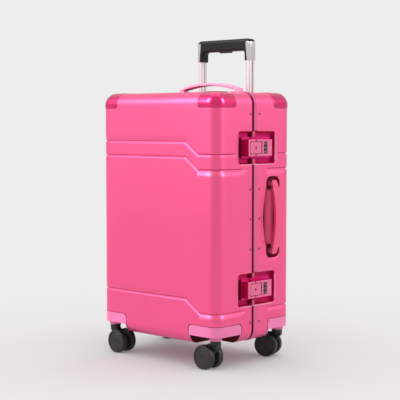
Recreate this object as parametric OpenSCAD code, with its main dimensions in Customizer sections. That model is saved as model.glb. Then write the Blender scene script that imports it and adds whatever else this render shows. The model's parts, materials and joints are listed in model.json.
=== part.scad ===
// Hard shell cabin suitcase on four swivel casters.
// X to the right, Y to the back, Z up. The floor is z = 0, below the middle of the shell.

/* [Shell] */
// Width of the shell, side to side
shell_w = 340; // [336:1:344]
// Depth of the shell, front to back
shell_d = 235; // [233:1:238]
// Height of the shell's top above the floor
shell_top = 560; // [556:1:566]
// Height of the shell's underside above the floor
shell_bottom = 48; // [48:0.5:50]
// Radius of every rounded edge
edge_r = 25; // [23:1:27]
// Thickness of the moulded shell
wall = 2.2; // [1.8:0.1:2.6]
// Depth of the pressed grooves
groove_depth = 1.2; // [0.8:0.1:1.4]
// Height of a pressed groove
groove_h = 5.5; // [4:0.5:7]

/* [Frame and seam] */
// Front face of the back frame
back_frame_y = -5; // [-5.5:0.1:-4.5]
// Where the back shell's edge meets the bead
back_edge_y = 5.3; // [5:0.1:6]
// Rear face of the front frame
front_frame_y = -7.2; // [-7.6:0.1:-6.8]
// Where the front shell's edge meets the front frame
front_edge_y = -9.5; // [-10:0.1:-9]
// How far the bead stands proud of the shell
bead_proud = 1; // [0.6:0.1:1.2]

/* [Latches] */
// Height of the lower latch
lower_latch_z = 156.5; // [150:0.5:165]
// Height of the upper latch
upper_latch_z = 447; // [440:0.5:452]
// Face of the lock box, from the middle of the shell
lock_face_x = 177.5; // [176:0.5:178]
// Floor of the latch recess
lock_floor_x = 158; // [157:0.5:159]
// Height of the lock box
lock_h = 34; // [32:1:36]

/* [Handles] */
// Height of the side handle's middle
side_handle_z = 302; // [298:1:306]
// Middle of the side handle, front to back
side_handle_y = 57; // [56:0.5:58]
// Outermost point of the side handle
side_handle_x = 188.5; // [186:0.5:190]
// Middle of the top handle, front to back
top_handle_y = 49; // [46:1:52]
// Highest point of the top handle
top_handle_z = 584; // [582:1:588]

/* [Telescopic handle] */
// Middle of the posts, front to back
post_y = 98; // [97:0.5:98.5]
// Distance of each post from the middle
post_x = 70.3; // [68:0.1:72]
// Width of the inner posts
post_w = 12; // [11:0.5:13]
// Depth of the inner posts, front to back
post_d = 18; // [17:0.5:19]
// Underside of the post caps at rest
cap_z = 632; // [630:1:640]
// Top of the grip at rest
grip_top = 679; // [677:1:690]
// Length of the grip
grip_w = 156; // [152:1:158]

/* [Casters] */
// Radius of the wheels
wheel_r = 25; // [24.5:0.1:25]
// Width of one wheel
wheel_w = 13; // [12:0.5:14]
// How far the axle trails behind the swivel
trail = 20; // [18:1:22]
// Distance of each swivel from the shell's faces
stem_inset = 21; // [20:0.5:22]

/* [Hidden] */
$fn = 64;

half_w = shell_w / 2;
half_d = shell_d / 2;
shell_h = shell_top - shell_bottom;
shell_mid = (shell_top + shell_bottom) / 2;
far = 400;
// Small step that keeps crossing rounded edges from being tangent to each other
crossing = 0.6;
// Free air between pieces that are fixed to the same body
gap = 0.1;
// Free air round a turning shaft
shaft_gap = 0.05;
// Free air between pieces that slide on each other
slide_gap = 0.4;

latch_zs = [lower_latch_z, upper_latch_z];
latch_y0 = -52;
latch_y1 = 64;
latch_half_h = 33.5;
// Wall of the shell behind a recess
dish = 2;
lock_back_y = 43.8;
lock_front_y = -29.4;
plate_half_h = 22;
plate_thick = 2.5;
flap_half_h = 12.5;
pocket_half_h = 12.9;
lock_pin_r = 1.2;
lock_pin_half = 15;
flap_pin = [174.3, 8.5];
dial_axis = [170.3, 23.4];
dial_pitch = 8;
dial_thick = 7.2;
key_y = -6;
key_r = 3.2;

side_recess_y0 = 35.5;
side_recess_y1 = 78;
side_recess_half_h = 84.75;
side_recess_x = 154;
// Finger scoop: a shallow arc beside the recess
scoop_half_h = 62;
scoop_r = 194;
scoop_y = 220;
side_handle_half = 78.5;
side_lug_z = 70;

top_handle_half = 89;
top_lug_x = 81;
// Half sizes of the handles' feet and of the sockets that hold them
top_foot = [7, 8];
top_socket_half = [10, 11];
side_foot = [7, 5];
side_socket_half = [10, 8];
mount_top = 4.4;
mount_side = 8;

outer_tube_bottom = 66;
middle_tube_bottom = 68;
inner_tube_bottom = 190;
cup_floor = 512;
cup_floor_thick = 3;
cup_half_w = 84;
cup_half_d = 16;
cup_wall = 2.5;
tube_wall = 1.2;
inner_tube_top = 645;
rod_r = 2;
rod_hole_r = 2.6;
cap_w = 17.4;
grip_d = 22;
grip_h = 26;

corner_x = 93;
corner_y = 41.5;
housing_top = 88.6;
housing_wall = 3;
brow_z = 67;
boss_r = 13;
boss_z = 59.5;
stem_r = 5;
stem_top = 80;
stem_x = half_w - stem_inset;
stem_y = half_d - stem_inset;

// Edges of the cap over a top corner, and how proud it stands
guard_thick = 1;
guard_z = 528.5;
guard_x = 119;
guard_y = 59.5;

hinge_zs = [130, 304, 478];
hinge_axis = [-176.6, -6];
hinge_r = 4.4;
hinge_half_h = 20;
hinge_pin_r = 2;
hinge_leaf = 3.2;
knuckle_from = 7;

rivet_zs = [88, 239, 301, 362, 516];
rivet_zs_hinge_side = [88, 239, 362, 516];
back_rivet_y = 13;
front_rivet_y = -15;
rivet_r = 1.55;
rivet_head_r = 2.6;
rivet_head = 0.6;
guard_rivet_r = 1.6;

// Pressed grooves: height on the left, height on the right, where the diagonal between them
// ends, and how far from the middle plane the groove stops on the front and on the back half
groove_bend_x = 84;
groove_lines = [
    [458.8, 433.4, 119, 62, 73],
    [428.2, 402.1, 120, 38, 39],
    [139.5, 113.3, 124, 35, 40]
];

axle_r = 2.99;
fork_hole_r = 3;
wheel_bore_r = 3.06;
fork_half_w = 5.8;
wheel_inset = 6.3;
// Turn of each caster at rest, in degrees
front_right_angle = 180;
front_left_angle = 0;
back_right_angle = 198.5;
back_left_angle = 185;

pink = "hotpink";
deep_pink = "deeppink";
pale_pink = "pink";
metal = "silver";
black = "dimgray";
cloth = "gray";

// A box between two corners
module box(low, high) {
    translate(low) cube(high - low);
}

// A flat rectangle with round corners, centred
module rounded_rect(w, h, r) {
    union() {
        square([w - 2 * r, h], center = true);
        square([w, h - 2 * r], center = true);
        for (x = [-1, 1], y = [-1, 1])
            translate([x * (w / 2 - r), y * (h / 2 - r)]) circle(r = r);
    }
}

// The outer form of the closed case, grown outwards or shrunk inwards
module case_block(grow) {
    w = shell_w + 2 * grow;
    d = shell_d + 2 * grow;
    h = shell_h + 2 * grow;
    r = edge_r + grow;
    intersection() {
        translate([0, 0, shell_mid]) linear_extrude(h + 10, center = true)
            rounded_rect(w, d, r);
        translate([0, 0, shell_mid]) rotate([90, 0, 0]) linear_extrude(d + 10, center = true)
            rounded_rect(w + crossing, h, r);
        translate([0, 0, shell_mid]) rotate([90, 0, 90]) linear_extrude(w + 10, center = true)
            rounded_rect(d + crossing, h + crossing, r);
    }
}

// A band that follows the case's outline between two offsets, from y0 to y1
module ring(outer, inner, y0, y1) {
    translate([0, y1, shell_mid]) rotate([90, 0, 0]) linear_extrude(y1 - y0) difference() {
        rounded_rect(shell_w + 2 * outer, shell_h + 2 * outer, edge_r + outer);
        rounded_rect(shell_w + 2 * inner, shell_h + 2 * inner, edge_r + inner);
    }
}

// Everything behind or in front of a plane across Y
module behind(y) {
    translate([-far, y, -far]) cube([2 * far, far, 4 * far]);
}
module before(y) {
    translate([-far, y - far, -far]) cube([2 * far, far, 4 * far]);
}

// Both mirrored corners of one half: +1 is the back, -1 the front
module both_corners(side) {
    for (x = [0, 1]) mirror([x, 0, 0]) mirror([0, side < 0 ? 1 : 0, 0]) children();
}

// The bottom corner taken by a wheel housing, at the right back
module corner_zone(grow) {
    box([corner_x - grow, corner_y - grow, shell_bottom - 20],
        [half_w + 20, half_d + 20, housing_top + grow]);
}

// One band of the groove pattern: straight, then down a diagonal, then round the corner
module groove_band(z_high, z_low, x_bend) {
    h = groove_h / 2;
    translate([0, far / 2 + half_d - 30, 0]) rotate([90, 0, 0]) linear_extrude(far / 2) polygon([
        [-far, z_high + h], [groove_bend_x + h / 2, z_high + h],
        [x_bend + h / 2, z_low + h],
        [half_w + far, z_low + h], [half_w + far, z_low - h], [x_bend - h / 2, z_low - h],
        [groove_bend_x - h / 2, z_high - h], [-far, z_high - h]
    ]);
}

// Straight end of a groove along the right side, from the corner towards the seam
module groove_side(z, y_end) {
    box([half_w - 10, y_end, z - groove_h / 2], [half_w + 10, half_d, z + groove_h / 2]);
}

// All the grooves; end says which of a line's last two values is where it stops
module grooves(end) {
    difference() {
        union() {
            for (line = groove_lines) {
                groove_band(line[0], line[1], line[2]);
                groove_side(line[1], line[end]);
                mirror([1, 0, 0]) groove_side(line[0], line[end]);
            }
        }
        case_block(-groove_depth);
    }
}

// Outline of a latch recess on the right side; grown, it is the dish that holds it
module latch_recess(grow, x0, x1) {
    for (z = latch_zs)
        translate([x0, (latch_y0 + latch_y1) / 2, z]) rotate([90, 0, 90])
            linear_extrude(x1 - x0)
            rounded_rect(latch_y1 - latch_y0 + 2 * grow, 2 * (latch_half_h + grow), 6 + grow);
}

// Outline of the side handle recess with its finger scoop
module handle_recess(grow, x0, x1) {
    mid_y = (side_recess_y0 + side_recess_y1) / 2;
    translate([x0, mid_y, side_handle_z]) rotate([90, 0, 90]) linear_extrude(x1 - x0)
        rounded_rect(side_recess_y1 - side_recess_y0 + 2 * grow,
                     2 * (side_recess_half_h + grow), 12 + grow);
    intersection() {
        translate([x0, scoop_y, side_handle_z]) rotate([0, 90, 0])
            cylinder(h = x1 - x0, r = scoop_r + grow, $fn = 256);
        box([x0 - 1, 0, side_handle_z - scoop_half_h],
            [x1 + 1, mid_y, side_handle_z + scoop_half_h]);
    }
}

// Rivet holes or shanks through shell and frame, on both sides
module rivet_rows(y, r, depth) {
    for (z = rivet_zs)
        translate([half_w - depth, y, z]) rotate([0, 90, 0]) cylinder(h = depth, r = r);
    for (z = rivet_zs_hinge_side)
        translate([-half_w, y, z]) rotate([0, 90, 0]) cylinder(h = depth, r = r);
}
module rivet_heads(y) {
    for (z = rivet_zs)
        translate([half_w, y, z]) rotate([0, 90, 0]) cylinder(h = rivet_head, r = rivet_head_r);
    for (z = rivet_zs_hinge_side)
        translate([-half_w - rivet_head, y, z]) rotate([0, 90, 0])
            cylinder(h = rivet_head, r = rivet_head_r);
}
module guard_rivets(side) {
    both_corners(side) {
        translate([guard_x + 5, half_d + guard_thick + 0.5, guard_z + 5]) rotate([90, 0, 0])
            cylinder(h = 0.5, r = guard_rivet_r);
        translate([half_w + guard_thick, guard_y + 5, guard_z + 5]) rotate([0, 90, 0])
            cylinder(h = 0.5, r = guard_rivet_r);
    }
}

// Box that the trolley cup fills in the top
module cup_zone(grow, z0) {
    box([-cup_half_w - grow, post_y - cup_half_d - grow, z0],
        [cup_half_w + grow, post_y + cup_half_d + grow, shell_top + 10]);
}

// ---------------------------------------------------------------- back half

module back_shell() color(pink) {
    difference() {
        union() {
            difference() {
                intersection() {
                    case_block(0);
                    behind(back_edge_y);
                }
                case_block(-wall);
            }
            intersection() {
                union() {
                    latch_recess(dish, lock_floor_x - dish, half_w - 1);
                    handle_recess(dish, side_recess_x - dish, half_w - 1);
                }
                behind(back_frame_y);
            }
        }
        latch_recess(0, lock_floor_x, half_w + 10);
        handle_recess(0, side_recess_x, half_w + 10);
        both_corners(1) corner_zone(gap);
        cup_zone(gap, shell_top - 45);
        grooves(4);
        rivet_rows(back_rivet_y, rivet_r + shaft_gap, 2 * wall + 1);
        for (x = [-1, 1]) top_socket(x, gap);
        for (z = [-1, 1]) side_socket(z, gap);
    }
}

module back_frame() color(pale_pink) {
    difference() {
        union() {
            ring(bead_proud, -2 * wall, back_frame_y, back_edge_y);
            ring(-wall - gap, -2 * wall, back_edge_y - 1, 18);
        }
        ring(-1.4, -3.4, back_frame_y - 1, -1.5);
        latch_recess(dish + gap, lock_floor_x - 8, half_w + 10);
        rivet_rows(back_rivet_y, rivet_r + shaft_gap, 2 * wall + 1);
    }
}

module frame_seal() color("dimgray") {
    difference() {
        ring(-1.5, -3.3, -2.8, -1.5);
        latch_recess(dish + gap, lock_floor_x - 8, half_w + 10);
    }
}

module back_rivets() color(metal) {
    rivet_rows(back_rivet_y, rivet_r, 2 * wall);
    rivet_heads(back_rivet_y);
    guard_rivets(1);
}

// Thin cap over the top corners of one half
module corner_guards(side) {
    both_corners(side) intersection() {
        difference() {
            case_block(guard_thick);
            case_block(0);
        }
        box([guard_x, guard_y, guard_z], [half_w + 10, half_d + 10, shell_top + 10]);
    }
}
module back_corner_guards() color(deep_pink) corner_guards(1);

// Moulded housing in a bottom corner, hollow above, with the bore for a caster
module wheel_housings(side) {
    both_corners(side) difference() {
        union() {
            difference() {
                intersection() {
                    case_block(0);
                    corner_zone(0);
                }
                box([corner_x + housing_wall, corner_y + housing_wall, 0],
                    [half_w + 20, half_d + 20, brow_z]);
                intersection() {
                    case_block(-housing_wall);
                    box([corner_x + housing_wall, corner_y + housing_wall, brow_z + 4],
                        [half_w, half_d, housing_top + 10]);
                }
            }
            translate([stem_x, stem_y, boss_z]) cylinder(h = housing_top - boss_z, r = boss_r);
        }
        translate([stem_x, stem_y, boss_z - 1])
            cylinder(h = stem_top + 1 - boss_z + 1, r = stem_r + shaft_gap);
    }
}
module back_wheel_housings() color(pink) wheel_housings(1);

module post_section(grow) {
    rounded_rect(post_w + 2 * grow, post_d + 2 * grow, 4 + grow);
}
module posts(z0, z1, outer, inner) {
    for (x = [-1, 1]) translate([x * post_x, post_y, z0]) linear_extrude(z1 - z0) difference() {
        post_section(outer);
        post_section(inner);
    }
}
middle_in = slide_gap;
middle_out = middle_in + tube_wall;
outer_in = middle_out + slide_gap;
outer_out = outer_in + tube_wall;

module trolley_cup() color(black) {
    difference() {
        intersection() {
            case_block(0);
            cup_zone(0, cup_floor - cup_floor_thick);
        }
        box([-cup_half_w + cup_wall, post_y - cup_half_d + cup_wall, cup_floor],
            [cup_half_w - cup_wall, post_y + cup_half_d - cup_wall, shell_top + 20]);
        for (x = [-1, 1]) translate([x * post_x, post_y, cup_floor - 10]) linear_extrude(20)
            post_section(outer_in);
    }
}

module trolley_outer_tubes() color(metal) {
    posts(outer_tube_bottom, cup_floor - cup_floor_thick - gap, outer_out, outer_in);
}

module trolley_base_bracket() color(black) {
    difference() {
        box([-cup_half_w, post_y - cup_half_d + cup_wall, outer_tube_bottom - 4],
            [cup_half_w, post_y + cup_half_d - cup_wall, outer_tube_bottom + 14]);
        for (x = [-1, 1]) translate([x * post_x, post_y, outer_tube_bottom])
            linear_extrude(30) post_section(outer_out + shaft_gap);
        box([-50, post_y - 9, outer_tube_bottom - 10], [50, post_y + 9, outer_tube_bottom + 10]);
    }
}

// Socket block of the top handle, right (+1) or left (-1)
module top_socket(x, grow) {
    cx = x * top_lug_x;
    box([cx - top_socket_half[0] - grow, top_handle_y - top_socket_half[1] - grow,
         shell_top - 14],
        [cx + top_socket_half[0] + grow, top_handle_y + top_socket_half[1] + grow,
         shell_top + 1]);
}
module top_handle_mounts() color(pink) {
    for (x = [-1, 1]) difference() {
        union() {
            top_socket(x, 0);
            box([x * top_lug_x - 14, top_handle_y - 15, shell_top],
                [x * top_lug_x + 14, top_handle_y + 15, shell_top + mount_top]);
        }
        box([x * top_lug_x - top_foot[0] - slide_gap,
             top_handle_y - top_foot[1] - slide_gap, shell_top - 12],
            [x * top_lug_x + top_foot[0] + slide_gap,
             top_handle_y + top_foot[1] + slide_gap, shell_top + 10]);
    }
}

// Socket block of the side handle, upper (+1) or lower (-1)
module side_socket(z, grow) {
    cz = side_handle_z + z * side_lug_z;
    box([side_recess_x - 10, side_handle_y - side_socket_half[0] - grow,
         cz - side_socket_half[1] - grow],
        [side_recess_x + 1, side_handle_y + side_socket_half[0] + grow,
         cz + side_socket_half[1] + grow]);
}
module side_handle_mounts() color(pink) {
    for (z = [-1, 1]) difference() {
        union() {
            side_socket(z, 0);
            box([side_recess_x, side_handle_y - 14, side_handle_z + z * side_lug_z - 12],
                [side_recess_x + mount_side, side_handle_y + 14,
                 side_handle_z + z * side_lug_z + 12]);
        }
        box([side_recess_x - 8, side_handle_y - side_foot[0] - slide_gap,
             side_handle_z + z * side_lug_z - side_foot[1] - slide_gap],
            [side_recess_x + 20, side_handle_y + side_foot[0] + slide_gap,
             side_handle_z + z * side_lug_z + side_foot[1] + slide_gap]);
    }
}

// Pocket in the lock box that the flap and its tongue move in
module flap_pocket(y0, y1) {
    box([lock_floor_x + 5, y0, -pocket_half_h], [lock_face_x + 10, y1, pocket_half_h]);
}
// A pin up through the lock box, round an axis given in X and Y
module lock_pin(axis) {
    translate([axis[0], axis[1], -lock_pin_half]) cylinder(h = 2 * lock_pin_half, r = lock_pin_r);
}
module latch_housing() {
    difference() {
        union() {
            box([lock_floor_x, back_frame_y, -plate_half_h],
                [lock_floor_x + plate_thick, 56, plate_half_h]);
            box([lock_floor_x, back_frame_y, -lock_h / 2], [lock_face_x, lock_back_y, lock_h / 2]);
        }
        flap_pocket(back_frame_y - 1, 13);
        translate([dial_axis[0], dial_axis[1], -12.2]) cylinder(h = 24.4, r = 9);
        lock_pin(dial_axis);
        lock_pin(flap_pin);
    }
}
module latch_housings() color(deep_pink) {
    for (z = latch_zs) translate([0, 0, z]) latch_housing();
}

module latch_pins() color(metal) {
    for (z = latch_zs) translate([0, 0, z]) lock_pin(flap_pin);
}
module dial_shafts() color(metal) {
    for (z = latch_zs) translate([0, 0, z]) lock_pin(dial_axis);
}

// Knuckles of one hinge from z0 to z1
module knuckle(z0, z1) {
    translate([hinge_axis[0], hinge_axis[1], z0]) cylinder(h = z1 - z0, r = hinge_r);
}
module hinge_back_leaf() {
    difference() {
        union() {
            box([-half_w - hinge_leaf, back_edge_y + 0.3, -hinge_half_h],
                [-half_w, 22, hinge_half_h]);
            for (z = [-hinge_half_h, knuckle_from]) {
                box([-half_w - hinge_leaf, hinge_axis[1], z],
                    [-half_w - hinge_leaf + 2, back_edge_y + 1, z + 13]);
                knuckle(z, z + 13);
            }
        }
        translate([hinge_axis[0], hinge_axis[1], -30]) cylinder(h = 60, r = hinge_pin_r);
    }
}
module hinge_front_leaf() {
    reach = knuckle_from - 0.3;
    difference() {
        union() {
            box([-half_w - hinge_leaf, -24, -hinge_half_h],
                [-half_w, front_edge_y - 0.3, hinge_half_h]);
            box([-half_w - hinge_leaf, front_edge_y - 1, -reach],
                [-half_w - hinge_leaf + 2, hinge_axis[1], reach]);
            knuckle(-reach, reach);
        }
        translate([hinge_axis[0], hinge_axis[1], -30])
            cylinder(h = 60, r = hinge_pin_r + shaft_gap);
    }
}
module hinge_back_leaves() color(pale_pink) {
    for (z = hinge_zs) translate([0, 0, z]) hinge_back_leaf();
}
module hinge_pins() color(metal) {
    for (z = hinge_zs)
        translate([hinge_axis[0], hinge_axis[1], z - hinge_half_h])
            cylinder(h = 2 * hinge_half_h, r = hinge_pin_r);
}

// Room inside the case that the fabric lining can take
module lining_space(grow) {
    difference() {
        case_block(-2 * wall - 0.5 - grow);
        both_corners(1) corner_zone(0.8 + grow);
        both_corners(-1) corner_zone(0.8 + grow);
        box([143 - grow, -57 - grow, lower_latch_z - 38 - grow],
            [far, 82 + grow, upper_latch_z + 38 + grow]);
        box([-98 - grow, 32 - grow, shell_top - 15 - grow], [98 + grow, 66 + grow, shell_top + 10]);
        box([-cup_half_w - 3 - grow, post_y - 18 - grow, 0],
            [cup_half_w + 3 + grow, far, shell_top + 10]);
    }
}
module back_lining() color(cloth) {
    intersection() {
        difference() {
            lining_space(0);
            lining_space(1);
        }
        behind(back_edge_y + 1);
    }
}

// One flat strap end from a wall of the lining to the buckle
strap_y = 8;
strap_half_w = 12;
module strap(x_wall, z_wall) {
    sx = sign(x_wall);
    sz = z_wall > shell_mid ? 1 : -1;
    z_in = shell_mid + sz * 6;
    translate([0, strap_y + 1.5, 0]) rotate([90, 0, 0]) linear_extrude(1.5) polygon([
        [sx * 30.2, z_in + sz * 14], [x_wall, z_wall + sz * strap_half_w],
        [x_wall, z_wall - sz * strap_half_w], [sx * 30.2, z_in - sz * 5]
    ]);
}
module packing_straps() color("darkgray") {
    for (z = [shell_mid - 130, shell_mid + 130], x = [-half_w + 6.1, 141.6]) strap(x, z);
}
module strap_buckle() color(black) {
    box([-30, strap_y - 1.5, shell_mid - 22], [30, strap_y + 3, shell_mid + 22]);
}

// --------------------------------------------------------------- front half

module front_shell() color(pink) {
    difference() {
        union() {
            difference() {
                intersection() {
                    case_block(0);
                    before(front_edge_y);
                }
                case_block(-wall);
            }
            intersection() {
                latch_recess(dish, lock_floor_x - dish, half_w - 1);
                before(front_frame_y);
            }
        }
        latch_recess(0, lock_floor_x, half_w + 10);
        both_corners(-1) corner_zone(gap);
        mirror([0, 1, 0]) grooves(3);
        rivet_rows(front_rivet_y, rivet_r + shaft_gap, 2 * wall + 1);
    }
}

module front_frame() color(pale_pink) {
    difference() {
        union() {
            ring(0, -2 * wall, front_edge_y, front_frame_y);
            ring(-wall - gap, -2 * wall, -22, front_edge_y + 1);
            difference() {
                ring(-1.7, -3.1, front_frame_y - 1, -3.2);
                box([-far, -far, 0], [-half_w + 20, far, shell_top]);
            }
        }
        latch_recess(dish + gap, lock_floor_x - 8, half_w + 10);
        rivet_rows(front_rivet_y, rivet_r + shaft_gap, 2 * wall + 1);
    }
}

module front_rivets() color(metal) {
    rivet_rows(front_rivet_y, rivet_r, 2 * wall);
    rivet_heads(front_rivet_y);
    guard_rivets(-1);
}
module front_corner_guards() color(deep_pink) corner_guards(-1);
module front_wheel_housings() color(pink) wheel_housings(-1);

module latch_keepers() color(deep_pink) {
    for (z = latch_zs) translate([0, 0, z]) {
        difference() {
            union() {
                box([lock_floor_x, -31, -plate_half_h],
                    [lock_floor_x + plate_thick, front_frame_y, plate_half_h]);
                box([lock_floor_x, lock_front_y, -lock_h / 2],
                    [lock_face_x, front_frame_y, lock_h / 2]);
            }
            flap_pocket(-24, front_frame_y + 1);
        }
        translate([lock_floor_x + 9, -13, -14]) cylinder(h = 28, r = 1.5);
    }
}
module hinge_front_leaves() color(pale_pink) {
    for (z = hinge_zs) translate([0, 0, z]) hinge_front_leaf();
}
module front_lining() color(cloth) {
    intersection() {
        difference() {
            lining_space(0);
            lining_space(1);
        }
        before(front_edge_y - 1);
    }
}
module divider_panel() color("darkgray") {
    intersection() {
        lining_space(1.3);
        box([-far, -14, 0], [far, -12, shell_top]);
    }
}

// --------------------------------------------------------- telescopic handle

module trolley_middle_tubes() color(metal) {
    posts(middle_tube_bottom, cup_floor, middle_out, middle_in);
}
module trolley_inner_tubes() color(metal) {
    posts(inner_tube_bottom, inner_tube_top, 0, -tube_wall);
}
grip_bottom = grip_top - grip_h;
module trolley_grip() color("black") {
    mid = grip_top - grip_h / 2;
    difference() {
        intersection() {
            translate([-grip_w / 2, post_y, mid]) rotate([90, 0, 90]) linear_extrude(grip_w)
                rounded_rect(grip_d, grip_h, 8);
            translate([0, post_y + 20, mid]) rotate([90, 0, 0]) linear_extrude(40)
                rounded_rect(grip_w, grip_h + crossing, 10);
        }
        box([-15.5, post_y - 5.5, grip_bottom - 10], [15.5, post_y + 5.5, grip_bottom + 8.5]);
        box([-73, post_y - 3.5, grip_bottom + 8], [73, post_y + 3.5, grip_bottom + 18]);
        for (x = [-1, 1]) translate([x * post_x, post_y, grip_bottom - 5])
            cylinder(h = 20, r = rod_hole_r);
    }
}
module trolley_grip_caps() color(metal) {
    for (x = [-1, 1]) difference() {
        translate([x * (grip_w - cap_w) / 2, post_y, cap_z])
            linear_extrude(grip_bottom - cap_z) rounded_rect(cap_w, grip_d, 5);
        translate([x * post_x, post_y, cap_z - 1]) linear_extrude(inner_tube_top - cap_z + 1)
            post_section(0.02);
        translate([x * post_x, post_y, cap_z]) cylinder(h = 40, r = rod_hole_r);
    }
}
module trolley_tube_rivets() color(black) {
    for (x = [-1, 1], z = [12, 22])
        translate([x * (post_x + post_w / 2) - (x < 0 ? 0.4 : 0), post_y, cap_z - z])
            rotate([0, 90, 0]) cylinder(h = 0.4, r = 1.2);
}
module trolley_button() color("black") {
    box([-15, post_y - 5, grip_bottom - 2.8], [15, post_y + 5, grip_bottom + 3]);
}
module trolley_release_rods() color(metal) {
    for (x = [-1, 1]) translate([x * post_x, post_y, inner_tube_bottom + 4])
        cylinder(h = grip_bottom + 16 - inner_tube_bottom - 4, r = rod_r);
    box([-post_x, post_y - 2, grip_bottom + 13], [post_x, post_y + 2, grip_bottom + 16]);
}

// ------------------------------------------------------------- carry handles

// Bow of a handle: a curved bar of the given half length, rise, width and thickness,
// with its highest point at the origin and its ends bending down
module bow(half, rise, width, thick) {
    r = (half * half + rise * rise) / (2 * rise);
    span = 2 * asin(half / r);
    c = 2;
    translate([0, 0, -r]) rotate([90, 0, 0]) rotate([0, 0, 90 - span / 2])
        rotate_extrude(angle = span) polygon([
            [r - thick, -width / 2 + c], [r - thick + c, -width / 2], [r - c, -width / 2],
            [r, -width / 2 + c], [r, width / 2 - c], [r - c, width / 2],
            [r - thick + c, width / 2], [r - thick, width / 2 - c]
        ]);
}
module top_handle() color(pale_pink) {
    translate([0, top_handle_y, top_handle_z]) bow(top_handle_half, 13, 24, 6.5);
    for (x = [-1, 1])
        box([x * top_lug_x - top_foot[0], top_handle_y - top_foot[1], shell_top - 11],
            [x * top_lug_x + top_foot[0], top_handle_y + top_foot[1], shell_top + 11]);
}
module side_handle() color(pale_pink) {
    translate([side_handle_x, side_handle_y, side_handle_z]) rotate([0, 90, 0])
        bow(side_handle_half, 14, 24, 8);
    for (z = [-1, 1])
        box([side_recess_x - 7, side_handle_y - side_foot[0],
             side_handle_z + z * side_lug_z - side_foot[1]],
            [side_handle_x - 14, side_handle_y + side_foot[0],
             side_handle_z + z * side_lug_z + side_foot[1]]);
}

// -------------------------------------------------------------------- latches

module clasp() color(pink) {
    difference() {
        union() {
            box([lock_face_x - 2.8, -23.5, -flap_half_h], [lock_face_x, 10.9, flap_half_h]);
            translate([flap_pin[0], flap_pin[1], -flap_half_h])
                cylinder(h = 2 * flap_half_h, r = 2.6);
            box([lock_floor_x + 5.6, -17.9, -6.5], [lock_face_x - 1, -14.9, 6.5]);
        }
        translate([flap_pin[0], flap_pin[1], -20])
            cylinder(h = 40, r = lock_pin_r + shaft_gap);
        translate([lock_face_x - 8, key_y, 0]) rotate([0, 90, 0])
            cylinder(h = 20, r = key_r + shaft_gap);
    }
}
module key_cylinder() color(metal) {
    difference() {
        translate([lock_face_x - 4.5, key_y, 0]) rotate([0, 90, 0]) cylinder(h = 4.8, r = key_r);
        box([lock_face_x - 2, key_y - 0.5, -1.6], [lock_face_x + 5, key_y + 0.5, 1.6]);
    }
}
module dial(latch_z, place) color(black) {
    translate([dial_axis[0], dial_axis[1], latch_z + (2 - place) * dial_pitch]) difference() {
        rotate([0, 0, 18]) cylinder(h = dial_thick, r = 8.5, center = true, $fn = 10);
        cylinder(h = 20, r = lock_pin_r + shaft_gap, center = true);
    }
}

// -------------------------------------------------------------------- casters

// Puts a caster's pieces at a corner, turned so that the wheels trail towards an angle
module at_corner(x, y, angle) {
    translate([x * stem_x, y * stem_y, 0]) rotate([0, 0, angle]) children();
}
module fork() color(black) {
    difference() {
        union() {
            translate([0, 0, wheel_r + 20]) cylinder(h = stem_top - wheel_r - 20, r = stem_r);
            translate([0, 0, 52]) cylinder(h = boss_z - 0.6 - 52, r = 11);
            translate([0, fork_half_w, 0]) rotate([90, 0, 0]) linear_extrude(2 * fork_half_w) polygon([
                [-9.5, 53], [-9.5, 47], [trail - 7, 19], [trail + 6, 19], [trail + 9, 27],
                [9.5, 53]
            ]);
            translate([trail, fork_half_w, wheel_r]) rotate([90, 0, 0])
                cylinder(h = 2 * fork_half_w, r = 9);
        }
        translate([trail, 20, wheel_r]) rotate([90, 0, 0]) cylinder(h = 40, r = fork_hole_r);
    }
}
module axle() color(metal) {
    translate([trail, 19, wheel_r]) rotate([90, 0, 0]) cylinder(h = 38, r = axle_r);
}
module wheels() color(black) {
    for (s = [-1, 1]) translate([trail, s * wheel_inset, wheel_r]) rotate([-90 * s, 0, 0])
        rotate_extrude() polygon([
            [wheel_bore_r, 0], [wheel_r - 2, 0], [wheel_r, 2], [wheel_r, wheel_w - 2],
            [wheel_r - 2, wheel_w], [18, wheel_w], [17.2, wheel_w - 0.8],
            [wheel_bore_r, wheel_w - 0.8]
        ]);
}

back_shell();
back_frame();
frame_seal();
back_rivets();
back_corner_guards();
back_wheel_housings();
trolley_cup();
trolley_outer_tubes();
trolley_base_bracket();
top_handle_mounts();
side_handle_mounts();
latch_housings();
latch_pins();
dial_shafts();
hinge_back_leaves();
hinge_pins();
back_lining();
packing_straps();
strap_buckle();
front_shell();
front_frame();
front_rivets();
front_corner_guards();
front_wheel_housings();
latch_keepers();
hinge_front_leaves();
front_lining();
divider_panel();
trolley_middle_tubes();
trolley_inner_tubes();
trolley_grip();
trolley_grip_caps();
trolley_tube_rivets();
trolley_button();
trolley_release_rods();
top_handle();
side_handle();
translate([0, 0, upper_latch_z]) clasp();  // upper_clasp
translate([0, 0, lower_latch_z]) clasp();  // lower_clasp
translate([0, 0, upper_latch_z]) key_cylinder();  // upper_key_cylinder
translate([0, 0, lower_latch_z]) key_cylinder();  // lower_key_cylinder
dial(upper_latch_z, 1);  // upper_dial_1
dial(upper_latch_z, 2);  // upper_dial_2
dial(upper_latch_z, 3);  // upper_dial_3
dial(lower_latch_z, 1);  // lower_dial_1
dial(lower_latch_z, 2);  // lower_dial_2
dial(lower_latch_z, 3);  // lower_dial_3
at_corner(1, -1, front_right_angle) fork();  // front_right_fork
at_corner(1, -1, front_right_angle) axle();  // front_right_axle
at_corner(1, -1, front_right_angle) wheels();  // front_right_wheels
at_corner(-1, -1, front_left_angle) fork();  // front_left_fork
at_corner(-1, -1, front_left_angle) axle();  // front_left_axle
at_corner(-1, -1, front_left_angle) wheels();  // front_left_wheels
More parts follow.
